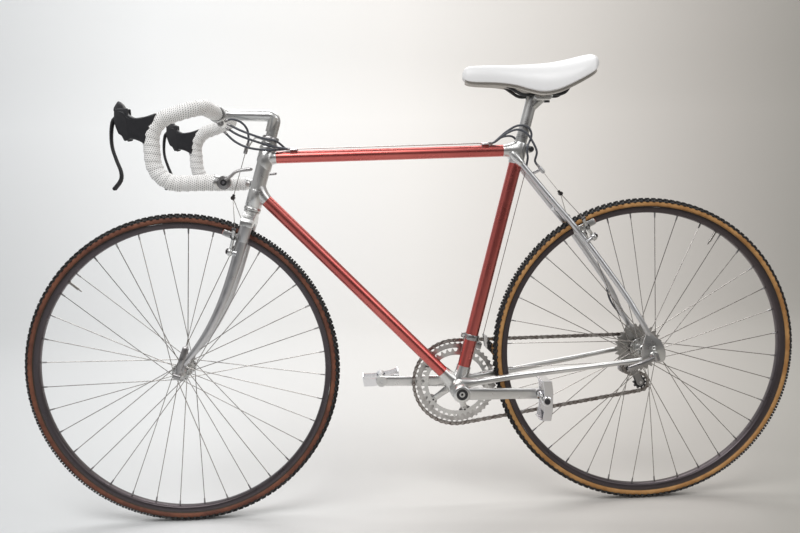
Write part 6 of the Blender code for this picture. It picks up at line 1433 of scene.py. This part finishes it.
def straddle(place, carrier, up, body):
    peg(carrier, Y, -5.5, 5.5, 4.5, 18, material=1)
    peg(carrier, up, -1, 8, 3, 6, material=1)
    for label, side in SIDES:
        rod(carrier, hook_at(place, label, side, 54.6), WIRE_RADIUS, 8)
    piece(f"{place}_straddle", [SPOKE_STEEL, DARK_BOLT], body=body)


for place, axle, carrier, up, body in (
        ("front", FRONT, CARRIER_FRONT, STEER_UP, "steering"),
        ("rear", REAR, CARRIER_REAR, (HANGER - CARRIER_REAR).normalized(), "frame")):
    for label, side in SIDES:
        brake_arm(place, label, side, axle)
    straddle(place, carrier, up, body)


# %% Make the skewers and their levers
def skewer(place, axle, outer):
    turned(lifted([(2, -8), (8.2, -8), (10.5, -4.8), (10.5, 0), (4.5, 0)], -outer)
           + lifted([(4.5, 0), (10, 0), (10, 6), (7, 12), (2, 12)], outer), axle, Y, 32)
    piece(f"{place}_skewer_turned", POLISHED, f"{place}_skewer")


def cam_lever(place, aim):
    at = joint_at(f"{place}_cam_swing")[0]
    peg(at, aim.cross(Y).normalized(), -7.5, 7.5, 6.3, 24)
    line = ((0, 0), (14, -1), (34, -3.5), (56, 0), (66, 2))
    path = smooth_path([at + aim * along + Y * across for along, across in line], 4)
    count = len(path) - 1
    wides = [3.4 - 0.8 * (k / count) ** 4 for k in range(count)] + [1.2]
    highs = [4.6 + 2.2 * sin(pi * 0.5 * min(1.0, k / count * 1.3)) for k in range(count)] + [3.0]
    sweep(carried(path, Y, wides, highs), 20)
    piece(f"{place}_cam_lever", GREY_ALLOY, f"{place}_quick_release")


skewer("front", FRONT, 56.1)
skewer("rear", REAR, 69.1)
cam_lever("front", vec(0.34, 0, 0.94).normalized())
cam_lever("rear", vec(-0.93, 0, -0.37).normalized())

# %% [markdown]
# ## Studio
# The photograph has a seamless pale backdrop and broad soft light. A swept sheet gives the
# floor and wall, one large lamp from the upper left gives the shape, and a weak pale world
# fills the shadows. The sheet's colour follows the direction from the camera as painted light:
# brightest ahead of the camera, falling off to a darker, warmer grey on the right. Painted shade
# also darkens it towards the floor. A dark card behind the camera is painted shade as well: it
# stands for the unlit room that the metal parts reflect.

# %% Backdrop and lights
FLOOR_FRONT, FLOOR_BACK, WALL_TOP, SWEEP_RADIUS, STAGE_HALF = -6000, 2400, 5000, 1600, 9000
turns = [radians(7.5 * k) for k in range(1, 13)]
sheet_line = [(FLOOR_FRONT, 0), (FLOOR_BACK, 0),
              *((FLOOR_BACK + SWEEP_RADIUS * sin(a), SWEEP_RADIUS * (1 - cos(a))) for a in turns),
              (FLOOR_BACK + SWEEP_RADIUS, WALL_TOP)]
line = [work.verts.new(vec(-STAGE_HALF, y, z) * MM) for y, z in sheet_line]
edges = [work.edges.new(pair) for pair in zip(line, line[1:])]
grown = bmesh.ops.extrude_edge_only(work, edges=edges)["geom"]
bmesh.ops.translate(work, vec=X * 2 * STAGE_HALF * MM, verts=only(grown, VERT))
PAPER = finish("studio paper", (0.8, 0.79, 0.78), 0.95, Specular_IOR_Level=0.1)
axes = add(PAPER, "SeparateXYZ", {"Vector": add(PAPER, "TexCoord").outputs["Object"]}).outputs


def maths(operation, a, b):
    return add(PAPER, "Math", {0: a, 1: b}, operation=operation).outputs[0]


# Painted light: a falloff worked out from the direction from the camera, brightest in the middle and darker
# and warmer to the right.
left_part = maths("SUBTRACT", axes["X"], CAMERA_PLACE.x * MM)
depth = maths("MAXIMUM", maths("SUBTRACT", axes["Y"], CAMERA_PLACE.y * MM), 1.2)
across = add(PAPER, "ValToRGB", {"Fac": ranged(PAPER, maths("DIVIDE", left_part, depth), -0.6, 0.6, 0, 1)})
stops = across.color_ramp.elements
stops[0].position, stops[0].color = 0.05, (0.8, 0.82, 0.83, 1.0)
stops[1].position, stops[1].color = 0.97, (0.56, 0.54, 0.5, 1.0)
for position, colour in ((0.3, (0.97, 0.98, 0.98)), (0.55, (0.96, 0.94, 0.91)),
                         (0.72, (0.84, 0.81, 0.77)), (0.88, (0.66, 0.63, 0.59))):
    stops.new(position).color = (*colour, 1.0)
# Painted shade: the ramp's colour is multiplied darker towards the floor, down to 0.72 at the bottom.
painted_light_tone = add(PAPER, "Mix", {"Factor": 1.0, "A": across.outputs["Color"],
                          "B": ranged(PAPER, axes["Z"], 0, 1.2, 0.72, 1)},
           data_type="RGBA", blend_type="MULTIPLY")
feed(PAPER, "Base Color", painted_light_tone.outputs["Result"])
backdrop = shaped("backdrop", PAPER)
backdrop.data.shade_smooth()


def softbox(name, place, target, wide, high, power):
    lamp = bpy.data.lights.new(name, "AREA")
    lamp.shape = "RECTANGLE"
    lamp.size, lamp.size_y, lamp.energy = wide * MM, high * MM, power
    made = bpy.data.objects.new(name, lamp)
    bpy.context.scene.collection.objects.link(made)
    made.matrix_world = placed((place - target).normalized(), place)


softbox("key", vec(-1200, -2000, 3600), vec(0, 0, 500), 3000, 1600, 83)
softbox("fill", vec(2600, -1800, 2400), vec(0, 0, 500), 1600, 2000, 20)
softbox("back", vec(400, 2000, 3000), vec(0, 200, 400), 3000, 1200, 35)
softbox("wall wash", vec(-400, 1200, 4200), vec(-300, 4000, 1400), 4000, 800, 68)
# Painted shade: a dark card behind the camera stands for the unlit room there, so the metal parts show dark
# reflections of it.
bmesh.ops.create_grid(work, x_segments=1, y_segments=1, size=1.0,
                      matrix=lay(vec(0, -4400, 1100), X * 5500, Z * 1050, -Y))
card = shaped("painted shade card", finish("painted shade card", (0.16, 0.155, 0.16), 0.9, rough=(4, 0.85, 0.95)))
world = bpy.data.worlds.new("studio")
bpy.context.scene.world = world
world.use_nodes = True
world.node_tree.nodes["Background"].inputs["Color"].default_value = (0.95, 0.94, 0.94, 1.0)
world.node_tree.nodes["Background"].inputs["Strength"].default_value = 0.46
bpy.context.scene.view_settings.view_transform = "Standard"
print("studio ready")
